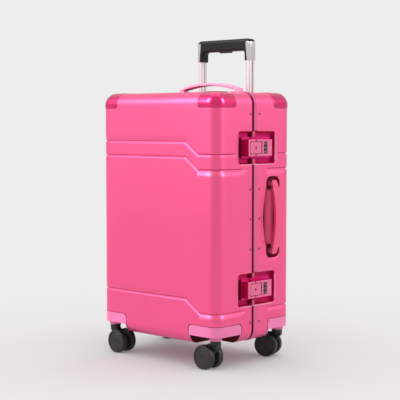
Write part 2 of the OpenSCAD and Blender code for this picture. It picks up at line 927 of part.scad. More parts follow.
at_corner(1, 1, back_right_angle) fork();  // back_right_fork
at_corner(1, 1, back_right_angle) axle();  // back_right_axle
at_corner(1, 1, back_right_angle) wheels();  // back_right_wheels
at_corner(-1, 1, back_left_angle) fork();  // back_left_fork
at_corner(-1, 1, back_left_angle) axle();  // back_left_axle
at_corner(-1, 1, back_left_angle) wheels();  // back_left_wheels
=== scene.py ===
import json
import math
from contextlib import contextmanager

import bmesh
import bpy
from mathutils import Matrix, Vector, noise

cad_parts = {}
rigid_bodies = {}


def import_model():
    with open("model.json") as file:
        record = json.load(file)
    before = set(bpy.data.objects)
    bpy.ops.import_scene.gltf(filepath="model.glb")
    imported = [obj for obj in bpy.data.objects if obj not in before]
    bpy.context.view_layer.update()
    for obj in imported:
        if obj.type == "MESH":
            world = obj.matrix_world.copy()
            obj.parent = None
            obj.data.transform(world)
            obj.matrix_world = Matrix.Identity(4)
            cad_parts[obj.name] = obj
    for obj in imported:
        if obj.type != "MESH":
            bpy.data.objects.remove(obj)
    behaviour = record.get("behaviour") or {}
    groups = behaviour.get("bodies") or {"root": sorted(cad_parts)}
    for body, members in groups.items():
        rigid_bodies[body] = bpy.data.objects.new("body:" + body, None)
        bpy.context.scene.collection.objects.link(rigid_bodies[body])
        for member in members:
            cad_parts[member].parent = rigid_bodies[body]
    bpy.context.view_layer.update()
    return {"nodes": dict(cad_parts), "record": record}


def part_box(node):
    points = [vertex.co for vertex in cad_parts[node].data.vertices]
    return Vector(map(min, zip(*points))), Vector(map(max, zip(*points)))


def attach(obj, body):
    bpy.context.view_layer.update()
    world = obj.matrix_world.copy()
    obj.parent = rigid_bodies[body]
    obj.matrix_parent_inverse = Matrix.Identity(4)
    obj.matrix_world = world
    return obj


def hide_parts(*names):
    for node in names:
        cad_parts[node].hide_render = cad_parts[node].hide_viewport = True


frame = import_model()

MM = 0.001


def box_mm(node):
    """A CAD node's low corner, high corner and middle, in mm."""
    low, high = [[c / MM for c in corner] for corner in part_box(node)]
    return low, high, [(a + b) / 2 for a, b in zip(low, high)]


# ------------------------------------------------------------------ sizes, in mm
shell_low, shell_high, _ = box_mm("front_shell")
HALF_W = shell_high[0]
HALF_D = box_mm("back_shell")[1][1]
Z0, Z1 = shell_low[2], shell_high[2]
MID_Z = (Z0 + Z1) / 2
HALF_H = (Z1 - Z0) / 2
HALF = (HALF_W, HALF_D, HALF_H)
EDGE_R = 25.0                               # the rounding of the case's edges
WALL = 2.2
FRONT_EDGE, BACK_EDGE = -9.5, 5.3           # where the shells end at the seam
FRONT_FRAME, BACK_FRAME = -7.2, -5.0        # where the frames end at the seam

LATCH_ZS = [box_mm(half + "_clasp")[2][2] for half in ("upper", "lower")]
LATCH_Y = (-52.0, 64.0)
LATCH_HALF_H, LATCH_DEPTH = 33.5, 12.0
RIM_W = 1.9                                 # reach of the painted highlight along a latch recess's rim
_, HANDLE_Y, HANDLE_Z = box_mm("side_handle")[2]
RECESS_Y = (35.5, 78.0)
RECESS_HALF_H, RECESS_DEPTH = 84.75, 16.0
SCOOP = (220.0, 194.0, 62.0)                # its middle's y, its radius and its half height
SHADED_Y = 50.0                             # the handle recess's floor is painted in shade up to here, and painted lit beyond
GROOVE_H, GROOVE_DEPTH = 5.5, 2.0
BEND_X = 84.0                               # where the grooves turn down
# Each groove's height at the left and at the right, its lower bend, and its ends on the sides
GROOVES = [(458.8, 433.4, 119.0, 62.0, 73.0), (428.2, 402.1, 120.0, 38.0, 39.0),
           (139.5, 113.3, 124.0, 35.0, 40.0)]
GUARD = (119.0, 59.5, 528.5)                # inner x and y, and lower edge, of the guards
HOUSING = (93.0, 41.5, 88.6)                # inner x and y, and upper edge, of the housings
CASTER, BOSS_R = (149.0, 96.5), 13.6        # a caster's x and y, and the boss that holds it
CUP_HALF, CUP_Y, CUP_Z = 84.3, 81.7, 547.6  # the opening for the trolley's cup
POST_X = 70.3
POST_HALF_W, POST_HALF_D, POST_WALL = 6.0, 9.0, 1.2


def srgb(r, g, b):
    """A linear colour from 0-255 display values."""
    out = []
    for c in (r, g, b):
        c /= 255
        out.append(c / 12.92 if c <= 0.04045 else ((c + 0.055) / 1.055) ** 2.4)
    return (*out, 1.0)


# ------------------------------------------------------------------ camera, floor and light
AMBIENT = 0.22
FLOOR_LIGHT = 2.2
FLOOR_FILL = 3.75
GLOSS_LOW = 0.25
GLOSS_HIGH = 0.85
# Each softbox's name, place, aim, size and power
SOFTBOXES = [("left_box", (-1.2, -2.3, 1.9), (0, 0, 0.45), (1.5, 1.5), 71),
             ("right_box", (2.4, 1.1, 1.7), (0.1, 0, 0.4), (0.9, 1.5), 41),
             ("top_box", (-0.2, 0.2, 2.4), (0, 0, 0.3), (2.0, 2.0), 12)]


CAMERA_AT = (1.729, -1.809, 0.495)          # in metres
AZIMUTH, PITCH = 43.47, 3.72                # how far the camera is turned, and tipped down
LENS, SENSOR = 105, 36


def make_camera():
    data = bpy.data.cameras.new("camera")
    data.sensor_width = SENSOR
    data.lens = LENS
    data.clip_end = 100
    cam = in_scene("camera", data)
    cam.location = CAMERA_AT
    azimuth, pitch = math.radians(AZIMUTH), math.radians(PITCH)
    ahead = Vector((-math.sin(azimuth) * math.cos(pitch), math.cos(azimuth) * math.cos(pitch),
                    -math.sin(pitch)))
    cam.rotation_mode = "QUATERNION"
    cam.rotation_quaternion = ahead.to_track_quat("-Z", "Y")
    bpy.context.scene.camera = cam


def in_scene(name, data):
    """A new object in the scene for a mesh, light or camera."""
    obj = bpy.data.objects.new(name, data)
    bpy.context.collection.objects.link(obj)
    return obj


def area_light(name, where, aim, size, power):
    data = bpy.data.lights.new(name, "AREA")
    data.shape = "RECTANGLE"
    data.size, data.size_y = size
    data.energy = power
    lamp = in_scene(name, data)
    lamp.location = where
    lamp.rotation_mode = "QUATERNION"
    lamp.rotation_quaternion = (Vector(aim) - Vector(where)).to_track_quat("-Z", "Y")
    return lamp


def feed(tree, node, inputs):
    """Sets a node's inputs: to values, or to the sockets that drive them."""
    for key, value in inputs.items():
        if isinstance(value, bpy.types.NodeSocket):
            tree.links.new(value, node.inputs[key])
        else:
            node.inputs[key].default_value = value


def add_node(tree, kind, inputs=None, **settings):
    """A new shader node with its own settings and its inputs fed."""
    node = tree.nodes.new("ShaderNode" + kind)
    for key, value in settings.items():
        setattr(node, key, value)
    feed(tree, node, inputs or {})
    return node


def world_light():
    """Even grey light from all round, the room that glossy surfaces mirror, brighter above, and
    the pale backdrop that the camera sees."""
    world = bpy.data.worlds.new("studio")
    bpy.context.scene.world = world
    world.use_nodes = True
    tree = world.node_tree
    light = tree.nodes["Background"]
    feed(tree, light, {"Color": (1, 1, 1, 1), "Strength": AMBIENT})
    seen = add_node(tree, "Background", {"Color": srgb(237, 237, 237)})
    coords = add_node(tree, "TexCoord")
    height = add_node(tree, "SeparateXYZ", {0: coords.outputs["Generated"]})
    walls = add_node(tree, "MapRange", {
        "Value": height.outputs["Z"], "From Min": -0.35, "From Max": 0.35,
        "To Min": GLOSS_LOW, "To Max": GLOSS_HIGH})
    room = add_node(tree, "Background", {"Strength": walls.outputs["Result"]})
    path = add_node(tree, "LightPath")
    gloss = add_node(tree, "MixShader", {0: path.outputs["Is Glossy Ray"], 1: light.outputs[0],
                                         2: room.outputs[0]})
    mix = add_node(tree, "MixShader", {0: path.outputs["Is Camera Ray"], 1: gloss.outputs[0],
                                       2: seen.outputs[0]})
    feed(tree, tree.nodes["World Output"], {0: mix.outputs[0]})


def make_stage():
    """A pale floor with its own soft light from above, part of it without shadows, and softboxes
    that light only the case."""
    world_light()
    bpy.context.scene.view_settings.view_transform = "Standard"
    bpy.ops.mesh.primitive_circle_add(vertices=96, radius=60, fill_type="NGON")
    floor = bpy.context.object
    floor.name = "floor"
    mat = bpy.data.materials.new("pale_floor")
    mat.use_nodes = True
    feed(mat.node_tree, mat.node_tree.nodes["Principled BSDF"],
         {"Base Color": (0.4, 0.4, 0.4, 1), "Roughness": 1.0, "Specular IOR Level": 0.0})
    floor.data.materials.append(mat)
    only_floor = bpy.data.collections.new("floor_only")
    only_floor.objects.link(floor)
    for name, power, shadows in (("floor_light", FLOOR_LIGHT, True),
                                 ("floor_fill", FLOOR_FILL, False)):
        dome = bpy.data.lights.new(name, "SUN")
        dome.angle = math.radians(140)
        dome.energy = power
        dome.use_shadow = shadows
        dome_lamp = in_scene(name, dome)
        dome_lamp.light_linking.receiver_collection = only_floor
    return floor, [area_light(*softbox) for softbox in SOFTBOXES]


def light_only_the_case(floor, lamps):
    """Links the softboxes to every piece but the floor."""
    case = bpy.data.collections.new("case_only")
    for obj in bpy.data.objects:
        if obj.type == "MESH" and obj is not floor:
            case.objects.link(obj)
    for lamp in lamps:
        lamp.light_linking.receiver_collection = case


# ------------------------------------------------------------------ materials
def material(name, colour, rough, metallic=0.0, grain=(900, 0.02), tone=(6, 0.06), streak=None,
             coat=0.0, coat_rough=0.1, rough_swing=0.05, edge=0.25, sheen=0.0, anisotropic=0.0,
             specular=0.5):
    """A procedural material: broad tone variation, fine grain in bump and roughness, and convex
    edges a little lighter. streak stretches the grain along an axis, as brushing does."""
    mat = bpy.data.materials.new(name)
    mat.use_nodes = True
    tree = mat.node_tree
    coords = add_node(tree, "TexCoord").outputs["Object"]
    broad = add_node(tree, "TexNoise", {"Scale": tone[0], "Detail": 3, "Vector": coords})
    shades = add_node(tree, "ValToRGB", {"Fac": broad.outputs["Fac"]})
    low, high = shades.color_ramp.elements
    low.position, high.position = 0.3, 0.7
    low.color = (*[c * (1 - tone[1]) for c in colour[:3]], 1)
    high.color = (*[min(1.0, c * (1 + tone[1])) for c in colour[:3]], 1)

    geometry = add_node(tree, "NewGeometry")
    rim = add_node(tree, "MapRange", {"From Min": 0.52, "From Max": 0.62, "To Max": edge,
                                      "Value": geometry.outputs["Pointiness"]})
    lighter_edges = add_node(tree, "Mix", {
        "B": (*[c + (1 - c) * 0.35 for c in colour[:3]], 1), "Factor": rim.outputs["Result"],
        "A": shades.outputs["Color"]}, data_type="RGBA")

    grained = add_node(tree, "Mapping", {"Scale": streak or (1, 1, 1), "Vector": coords})
    fine = add_node(tree, "TexNoise", {"Scale": grain[0], "Detail": 4,
                                       "Vector": grained.outputs["Vector"]}).outputs["Fac"]
    swing = add_node(tree, "MapRange", {"To Min": rough - rough_swing,
                                        "To Max": rough + rough_swing, "Value": fine})
    bump = add_node(tree, "Bump", {"Strength": grain[1], "Distance": 0.0005, "Height": fine})
    feed(tree, tree.nodes["Principled BSDF"], {
        "Metallic": metallic, "Coat Weight": coat, "Coat Roughness": coat_rough,
        "Sheen Weight": sheen, "Anisotropic": anisotropic, "Specular IOR Level": specular,
        "Base Color": lighter_edges.outputs["Result"], "Roughness": swing.outputs["Result"],
        "Normal": bump.outputs["Normal"]})
    return mat


def weave(name, colour, thread_mm, contrast=0.35, bump_strength=0.6):
    """Woven cloth: two crossed wave sets give the threads, and noise gives uneven yarn."""
    mat = bpy.data.materials.new(name)
    mat.use_nodes = True
    tree = mat.node_tree
    coords = add_node(tree, "TexCoord").outputs["Object"]
    across, up, deep = [add_node(tree, "TexWave", {
        "Scale": math.pi / 10 / (thread_mm * MM), "Distortion": 0.3, "Vector": coords},
        bands_direction=direction).outputs["Fac"] for direction in "XZY"]
    yarn = add_node(tree, "TexNoise", {"Scale": 140, "Vector": coords}).outputs["Fac"]
    height = across
    for operation, other in (("MULTIPLY", up), ("ADD", deep), ("MULTIPLY", yarn)):
        height = add_node(tree, "Math", {0: height, 1: other}, operation=operation).outputs[0]
    shades = add_node(tree, "ValToRGB", {"Fac": height})
    low, high = shades.color_ramp.elements
    low.color = (*[c * (1 - contrast) for c in colour[:3]], 1)
    high.color = (*[min(1, c * (1 + contrast)) for c in colour[:3]], 1)
    bump = add_node(tree, "Bump", {"Strength": bump_strength, "Distance": 0.0003,
                                   "Height": height})
    feed(tree, tree.nodes["Principled BSDF"], {
        "Roughness": 0.85, "Sheen Weight": 0.4, "Base Color": shades.outputs["Color"],
        "Normal": bump.outputs["Normal"]})
    return mat


M = {
    "shell": material("satin_pink_shell", srgb(255, 86, 144), 0.4, metallic=0.7, grain=(700, 0.05),
        tone=(5, 0.05), streak=(1, 1, 0.06), coat=0.5, coat_rough=0.38, edge=0.35),
    # Painted shade: the darker pink of the grooves' upper walls.
    "crease": material("shaded_shell_groove", srgb(196, 44, 100), 0.5, metallic=0.2, grain=(900,
        0.05), tone=(8, 0.06), edge=0.2),
    # Painted shade: the deeper pink of the latch recesses and their ribs.
    "recess": material("shaded_pink_recess", srgb(196, 0, 92), 0.5, metallic=0.7, grain=(900,
        0.06), tone=(10, 0.06), edge=0.3),
    # Painted shade: a deep shade for the handle recess's walls and the top handle's underside.
    "recess_wall": material("painted_deep_shade", srgb(150, 0, 62), 0.5, metallic=0.6, grain=(900,
        0.06), tone=(10, 0.06), edge=0.3),
    # Painted light: the lit part of the handle recess's floor.
    "recess_floor": material("lit_recess_floor", srgb(240, 84, 132), 0.45, metallic=0.5,
        grain=(900, 0.06), tone=(10, 0.06), edge=0.2),
    "frame": material("pink_frame", srgb(228, 92, 148), 0.36, metallic=0.4, grain=(900, 0.04),
        tone=(9, 0.05), streak=(1, 1, 0.05), coat=0.2, edge=0.05),
    "guard": material("metallic_pink_guard", srgb(228, 30, 108), 0.3, metallic=0.8, grain=(1200,
        0.02), tone=(12, 0.05), coat=0.7, coat_rough=0.14, edge=0.15),
    # Painted shade: the dark maroon round the guards' edges, where the gap would be dark.
    "guard_rim": material("shaded_guard_rim", srgb(140, 8, 62), 0.4, metallic=0.5, grain=(1200,
        0.03), tone=(12, 0.06), edge=0.1),
    "housing": material("moulded_pink_plastic", srgb(255, 124, 182), 0.42, grain=(1800, 0.12),
        tone=(14, 0.05), coat=0.25, coat_rough=0.35, edge=0.3),
    # Painted shade: near-black maroon for the housings' hollows, the shaded part of the handle
    # recess's floor and the side handle's mounts.
    "cavity": material("shaded_housing_cavity", srgb(108, 0, 38), 0.7, grain=(1500, 0.1), tone=(14,
        0.08), edge=0.1, specular=0.15),
    # Painted highlight: the lighter pink along the latch recesses' rims.
    "rim": material("painted_rim_highlight", srgb(255, 156, 192), 0.38, metallic=0.4, grain=(900,
        0.05), tone=(8, 0.05)),
    # Painted reflection: the dark band down two edges of each trolley post.
    "post_line": material("dark_post_edge_reflection", srgb(52, 44, 46), 0.4, metallic=0.6, grain=(900, 0.04),
        tone=(10, 0.06)),
    "figure": material("dial_figure_paint", srgb(214, 150, 172), 0.5, grain=(900, 0.05)),
    "handle": material("soft_pink_grip", srgb(255, 178, 216), 0.45, grain=(1500, 0.12), tone=(12,
        0.04), coat=0.3, coat_rough=0.35, edge=0.25, sheen=0.1),
    "side_grip": material("deep_pink_grip", srgb(246, 72, 128), 0.45, grain=(1500, 0.12), tone=(12,
        0.05), coat=0.3, coat_rough=0.35, edge=0.25),
    "rivet": material("tinted_rivet_steel", srgb(168, 62, 98), 0.38, metallic=0.8, grain=(1400,
        0.05), tone=(20, 0.06), edge=0.2),
    "lock": material("painted_lock_case", srgb(240, 108, 152), 0.36, metallic=0.3, grain=(1500,
        0.06), tone=(20, 0.05), edge=0.05),
    # Painted shade: the deep magenta of the lock cases' sides.
    "lock_deep": material("shaded_lock_sides", srgb(222, 0, 122), 0.42, metallic=0.7, grain=(1500,
        0.06), tone=(20, 0.06), edge=0.05),
    # Dark rubber for the seal, darkened as painted shade, and used as painted shade in gaps,
    # slots, pockets and holes.
    "seam": material("dark_gap_shade_rubber", srgb(62, 0, 20), 0.8, grain=(1200, 0.1), tone=(20, 0.1),
        edge=0.05, specular=0.08),
    "chrome": material("polished_cap_metal", srgb(250, 243, 241), 0.14, metallic=0.9, grain=(900,
        0.015), tone=(10, 0.03), streak=(1, 1, 0.03), rough_swing=0.03, edge=0.1),
    "post": material("warm_satin_post", srgb(246, 234, 233), 0.3, metallic=0.75, grain=(900, 0.03),
        tone=(10, 0.03), streak=(1, 1, 0.02), edge=0.1, anisotropic=0.3),
    "steel": material("brushed_steel", srgb(175, 165, 168), 0.3, metallic=1.0, grain=(1400, 0.06),
        tone=(20, 0.06), streak=(1, 1, 0.1)),
    "tube": material("drawn_aluminium", srgb(190, 186, 186), 0.32, metallic=1.0, grain=(900, 0.05),
        tone=(10, 0.05), streak=(1, 1, 0.02)),
    "gloss_black": material("gloss_black_grip", srgb(12, 10, 11), 0.34, grain=(600, 0.01),
        tone=(10, 0.15), coat=0.1, coat_rough=0.15, edge=0.05, specular=0.25),
    "black": material("matte_black_plastic", srgb(17, 16, 17), 0.5, grain=(1800, 0.15), tone=(15,
        0.12), edge=0.08),
    "tyre": material("charcoal_tyre", srgb(30, 26, 28), 0.55, grain=(1600, 0.2), tone=(30, 0.1),
        edge=0.08),
    "hub": material("charcoal_hub", srgb(36, 31, 34), 0.55, grain=(1500, 0.12), tone=(30, 0.08),
        edge=0.1),
    "mark": material("pale_mark", srgb(226, 208, 214), 0.5, grain=(900, 0.05)),
    "zip": material("zip_teeth_nylon", srgb(58, 52, 60), 0.45, grain=(1500, 0.1), tone=(30, 0.08),
        edge=0.2),
    "lining": weave("grey_lining_cloth", srgb(132, 124, 134), 2.0),
    "divider": weave("dark_divider_cloth", srgb(104, 97, 107), 1.6),
    "pocket": weave("pocket_mesh_cloth", srgb(74, 68, 76), 2.6, contrast=0.6),
    "piping": weave("pink_piping_cloth", srgb(214, 60, 130), 1.2),
    "strap": weave("black_webbing", srgb(46, 42, 47), 2.0, bump_strength=0.9),
}


# ------------------------------------------------------------------ mesh helpers
@contextmanager
def editing(mesh):
    """A mesh opened for editing, and written back afterwards."""
    bm = bmesh.new()
    bm.from_mesh(mesh)
    yield bm
    bm.to_mesh(mesh)
    bm.free()


def new_piece(name, verts, faces, mat, mats=None):
    """A mesh object from points in mm."""
    mesh = bpy.data.meshes.new(name)
    mesh.from_pydata([Vector(v) * MM for v in verts], [], faces)
    mesh.update()
    for key in (mat, *(mats or [])):
        mesh.materials.append(M[key])
    return in_scene(name, mesh)


def paint(obj, mats, pick):
    """Gives each face the material, of those in its slots, that pick(centre, normal) names."""
    for face in obj.data.polygons:
        face.material_index = mats.index(pick(face.center / MM, face.normal))
    return obj


def modified(obj, kind, **settings):
    """Adds a modifier to an object."""
    mod = obj.modifiers.new(kind.lower(), kind)
    for key, value in settings.items():
        setattr(mod, key, value)
    return obj


def applied(obj):
    """Applies an object's modifiers."""
    graph = bpy.context.evaluated_depsgraph_get()
    mesh = bpy.data.meshes.new_from_object(obj.evaluated_get(graph))
    obj.modifiers.clear()
    obj.data = mesh
    return obj


def settle(obj, angle=32):
    """Applies the modifiers, then shades smooth with sharp edges above an angle, and keeps the
    large faces flat between their rounded edges."""
    if obj.modifiers:
        applied(obj)
    limit = math.radians(angle)
    with editing(obj.data) as bm:
        for face in bm.faces:
            face.smooth = True
        for edge in bm.edges:
            edge.smooth = len(edge.link_faces) == 2 and edge.calc_face_angle(0) < limit
    return applied(modified(obj, "WEIGHTED_NORMAL", keep_sharp=True, weight=100))


def outward(obj):
    with editing(obj.data) as bm:
        bmesh.ops.recalc_face_normals(bm, faces=bm.faces)
    return obj


def boolean(obj, cutter, operation):
    modified(obj, "BOOLEAN", operation=operation, solver="EXACT", object=cutter)
    applied(obj)
    bpy.data.objects.remove(cutter)


def bevel(obj, width, segments=2):
    return modified(obj, "BEVEL", width=width * MM, segments=segments, limit_method="ANGLE",
                    angle_limit=math.radians(35), use_clamp_overlap=True)


def bevel_now(obj, width, segments=2):
    return settle(bevel(obj, width, segments))


def join(objs, name):
    """One object from several, in place of them."""
    bm = bmesh.new()
    mats = []
    for obj in objs:
        start = len(bm.faces)
        bm.from_mesh(obj.data)
        bm.faces.ensure_lookup_table()
        slots = []
        for mat in obj.data.materials:
            if mat not in mats:
                mats.append(mat)
            slots.append(mats.index(mat))
        for face in bm.faces[start:]:
            face.material_index = slots[min(face.material_index, len(slots) - 1)]
    mesh = bpy.data.meshes.new(name)
    bm.to_mesh(mesh)
    bm.free()
    for mat in mats:
        mesh.materials.append(mat)
    for obj in objs:
        bpy.data.objects.remove(obj)
    return in_scene(name, mesh)


def between(a, b, count):
    """The faces that join two closed rings of points, from the numbers of their first points."""
    return [[a + k, a + (k + 1) % count, b + (k + 1) % count, b + k] for k in range(count)]


def loft(name, rings, mat, mats=None):
    """A skin over closed rings of points, with its ends closed."""
    count = len(rings[0])
    last = (len(rings) - 1) * count
    faces = [face for start in range(0, last, count)
             for face in between(start, start + count, count)]
    faces += [list(range(count)), [last + k for k in reversed(range(count))]]
    return outward(new_piece(name, [p for ring in rings for p in ring], faces, mat, mats))


def on_axis(axis, t, u, v):
    return {"x": (t, u, v), "y": (u, t, v), "z": (u, v, t)}[axis]


def prism(outline, axis, low, high, mat="shell", name="prism"):
    """A closed solid: an outline in the plane across an axis, drawn out along it."""
    return loft(name, [[on_axis(axis, t, *p) for p in outline] for t in (low, high)], mat)


def rounded_outline(u0, u1, v0, v1, radii, steps=6):
    """A rectangle whose corners (u0 v0, u1 v0, u1 v1, u0 v1) have their own radii."""
    if not hasattr(radii, "__len__"):
        radii = (radii,) * 4
    points = []
    for (cu, cv, start), r in zip([(u0, v0, 180), (u1, v0, 270), (u1, v1, 0), (u0, v1, 90)],
                                  radii):
        if r <= 0:
            points.append((cu, cv))
            continue
        mu = cu + (r if cu == u0 else -r)
        mv = cv + (r if cv == v0 else -r)
        for i in range(steps + 1):
            a = math.radians(start + 90 * i / steps)
            points.append((mu + r * math.cos(a), mv + r * math.sin(a)))
    return points


def block(name, axis, at, half, span, r, mat):
    """A prism with rounded corners: its middle and half sizes across an axis, and its span
    along it."""
    (u, v), (du, dv) = at, half
    return prism(rounded_outline(u - du, u + du, v - dv, v + dv, r), axis, *span, mat, name)


def lathe(profile, name, steps, mats, pick):
    """A piece turned round Y from (radius, along) points. pick names a face's material."""
    verts, faces, count = [], [], len(profile)
    for s in range(steps):
        a = 2 * math.pi * s / steps
        verts += [(r * math.cos(a), t, r * math.sin(a)) for r, t in profile]
        faces += between(s * count, (s + 1) % steps * count, count)
    return paint(outward(new_piece(name, verts, faces, mats[0], mats[1:])), mats, pick)


def cad_copy(node, name, keys, flat_deg):
    """A copy of a CAD node in other materials, without the edges inside its flat faces."""
    mesh = frame["nodes"][node].data.copy()
    mesh.materials.clear()
    for key in keys:
        mesh.materials.append(M[key])
    with editing(mesh) as bm:
        bmesh.ops.remove_doubles(bm, verts=bm.verts, dist=1e-6)
        bmesh.ops.dissolve_limit(bm, angle_limit=math.radians(flat_deg), verts=bm.verts,
                                 edges=bm.edges)
        for face in bm.faces:
            face.material_index = 0
    return in_scene(name, mesh)


def rounded_copy(node, mat, width=0.5, mats=(), pick=None, nudge=None):
    """A CAD node's own shape with its edges rounded, in place of the node. nudge moves its
    points, in mm, before the rounding; pick(centre, normal) names a face's material."""
    obj = cad_copy(node, node + "_finished", (mat, *mats), 1.5)
    with editing(obj.data) as bm:
        if nudge:
            for v in bm.verts:
                v.co = Vector(nudge(v.co / MM)) * MM
            bm.normal_update()
        if pick:
            for face in bm.faces:
                chosen = pick(face.calc_center_median() / MM, face.normal)
                face.material_index = (mat, *mats).index(chosen)
    return bevel_now(obj, width)


def body_of(node):
    for body, nodes in frame["record"]["behaviour"]["bodies"].items():
        if node in nodes:
            return body
    raise ValueError(node)


def place(obj, *nodes, body=None):
    """Puts a piece on the body of the nodes it stands for, and hides those nodes."""
    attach(obj, body or body_of(nodes[0]))
    if nodes:
        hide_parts(*nodes)
    return obj


def finish(node, mat, width, **options):
    """Puts the rounded copy of a CAD node in its place."""
    return place(rounded_copy(node, mat, width, **options), node)


# ------------------------------------------------------------------ the case's surface
CASE = {"x": (-HALF_W, HALF_W), "y": (-HALF_D, HALF_D), "z": (Z0, Z1)}


def grid_lines(low, high, exact=(), dense=(), coarse=13.0):
    """Positions from low to high that pass through exact ones, closer in the dense stretches."""
    cuts = {low, high, *[e for e in exact if low < e < high]}
    for a, b, _ in dense:
        cuts.update(v for v in (a, b) if low < v < high)
    cuts = sorted(cuts)
    out = [low]
    for a, b in zip(cuts, cuts[1:]):
        middle = (a + b) / 2
        step = min([s for p, q, s in dense if p <= middle <= q], default=coarse)
        count = max(1, math.ceil((b - a) / step - 0.01))
        out += [a + (b - a) * (i + 1) / count for i in range(count)]
    return out


def arc_marks(half, middle=0.0, steps=6):
    """Grid positions that divide the rounding at both ends of a side into equal angles."""
    marks = []
    for i in range(steps):
        t = half - EDGE_R + EDGE_R * math.tan(math.radians(45 * i / steps))
        marks += [middle + t, middle - t]
    return marks


def from_core(p):
    """The nearest point of the case's core, a box short of its surface by the edges' radius,
    and the way from there to a point. Both are measured from the case's middle."""
    rel = (p[0], p[1], p[2] - MID_Z)
    core = Vector([max(-h + EDGE_R, min(h - EDGE_R, c)) for c, h in zip(rel, HALF)])
    return core, Vector(rel) - core


def on_case(p):
    """The point of the case's surface, and its normal, that a point of the plain box maps to."""
    core, away = from_core(p)
    out = away.normalized()
    return core + out * EDGE_R + Vector((0, 0, MID_Z)), out


def depth_inside(p):
    """How far a point is inside the case's surface."""
    return EDGE_R - from_core(p)[1].length


def case_skin(name, xs, ys, zs, depth, mat, keep=None, mats=None, pick=None):
    """The case's surface over a range of grid lines, pushed in by depth(point, normal).
    keep(point, normal) says which faces stay; pick names a face's material."""
    verts, base, index, faces, slots = [], [], {}, [], []
    order = (mat, *(mats or ()))

    def vert(p):
        key = tuple(round(c, 3) for c in p)
        if key not in index:
            point, out = on_case(p)
            index[key] = len(verts)
            base.append((point, out))
            verts.append(point - out * depth(point, out))
        return index[key]

    def quad(corners):
        ids = [vert(p) for p in corners]
        centre = (base[ids[0]][0] + base[ids[1]][0] + base[ids[2]][0] + base[ids[3]][0]) / 4
        out = (base[ids[0]][1] + base[ids[2]][1]).normalized()
        if not keep or keep(centre, out):
            faces.append(ids)
            slots.append(order.index(pick(centre, out)) if pick else 0)

    for axis, us, vs, ends, turn in (("x", ys, zs, xs, 1), ("y", xs, zs, ys, -1),
                                     ("z", xs, ys, zs, 1)):
        for side, end, level in ((-1, ends[0], CASE[axis][0]), (1, ends[-1], CASE[axis][1])):
            if abs(end - level) > 0.01:
                continue
            for pair in zip(us, us[1:]):
                a, b = pair if side * turn > 0 else reversed(pair)
                for c, d in zip(vs, vs[1:]):
                    quad([on_axis(axis, level, u, v) for u, v in ((a, c), (b, c), (b, d), (a, d))])
    obj = new_piece(name, verts, faces, mat, mats)
    with editing(obj.data) as bm:
        bm.faces.ensure_lookup_table()
        for face, slot in zip(bm.faces, slots):
            face.material_index = slot
            face.smooth = True
        bmesh.ops.delete(bm, geom=[v for v in bm.verts if not v.link_faces], context="VERTS")
    return obj


def smooth(t):
    t = min(1.0, max(0.0, t))
    return t * t * (3 - 2 * t)


def rect_gap(u, v, u0, u1, v0, v1, r):
    """Distance outside a rounded rectangle, negative inside it."""
    qu = abs(u - (u0 + u1) / 2) - (u1 - u0) / 2 + r
    qv = abs(v - (v0 + v1) / 2) - (v1 - v0) / 2 + r
    return math.hypot(max(qu, 0), max(qv, 0)) + min(max(qu, qv), 0) - r


def corner_gap(terms, r):
    """Distance outside a region bounded by planes, with its corners rounded."""
    q = [t + r for t in terms]
    return math.sqrt(sum(max(t, 0) ** 2 for t in q)) + min(max(q), 0) - r


def housing_gap(p):
    return corner_gap((HOUSING[0] - abs(p.x), HOUSING[1] - abs(p.y), p.z - HOUSING[2]), 8)


def guard_gap(p):
    return corner_gap((GUARD[0] - abs(p.x), GUARD[1] - abs(p.y), GUARD[2] - p.z), 5)


def line_gap(x, z, points):
    """Distance from a point to a bent line."""
    best = 1e9
    for (x0, z0), (x1, z1) in zip(points, points[1:]):
        dx, dz = x1 - x0, z1 - z0
        t = max(0, min(1, ((x - x0) * dx + (z - z0) * dz) / (dx * dx + dz * dz)))
        best = min(best, math.hypot(x - x0 - t * dx, z - z0 - t * dz))
    return best


def groove_dip(p, out):
    """Depth of the pressed grooves: round the left side, over the face, down a diagonal and
    round the right corner."""
    if not any(low - 6 < p.z < high + 6 for high, low, *_ in GROOVES):
        return 0.0
    best = 1e9
    for high, low, bend, front_end, back_end in GROOVES:
        end = front_end if p.y < 0 else back_end
        if abs(p.y) > HALF_D - EDGE_R - 0.01:
            gap = line_gap(p.x, p.z, [(-400, high), (BEND_X, high), (bend, low), (400, low)])
        elif abs(out.x) > 0.9:
            gap = math.hypot(max(0, end - abs(p.y)), p.z - (low if p.x > 0 else high))
        else:
            continue
        best = min(best, gap)
    return GROOVE_DEPTH * smooth((GROOVE_H / 2 + 0.3 - best) / 1.5)


def recess_dip(p):
    """Depth of the latch and side handle recesses in the right side, with drafted walls."""
    if p.x < HALF_W - 1 or abs(p.y) > 90:
        return 0.0
    deep = 0.0
    for z in LATCH_ZS:
        gap = rect_gap(p.y, p.z, *LATCH_Y, z - LATCH_HALF_H, z + LATCH_HALF_H, 7)
        deep = max(deep, LATCH_DEPTH * smooth((0.6 - gap) / 3.4))
    if p.y > 0:
        gap = rect_gap(p.y, p.z, *RECESS_Y, HANDLE_Z - RECESS_HALF_H, HANDLE_Z + RECESS_HALF_H, 13)
        if p.y < HANDLE_Y and abs(p.z - HANDLE_Z) < SCOOP[2]:
            gap = min(gap, math.hypot(p.y - SCOOP[0], p.z - HANDLE_Z) - SCOOP[1])
        deep = max(deep, RECESS_DEPTH * smooth((0.6 - gap) / 4.4))
    return deep


def shell_dip(p, out):
    dip = max(recess_dip(p), groove_dip(p, out))
    gap = housing_gap(p)
    if gap < 1.2:
        dip = max(dip, 3.0 * smooth((0.7 - gap) / 0.9))
    edge = p.y - BACK_EDGE if p.y > 0 else FRONT_EDGE - p.y
    return dip + 0.9 * smooth((1.6 - edge) / 1.6)


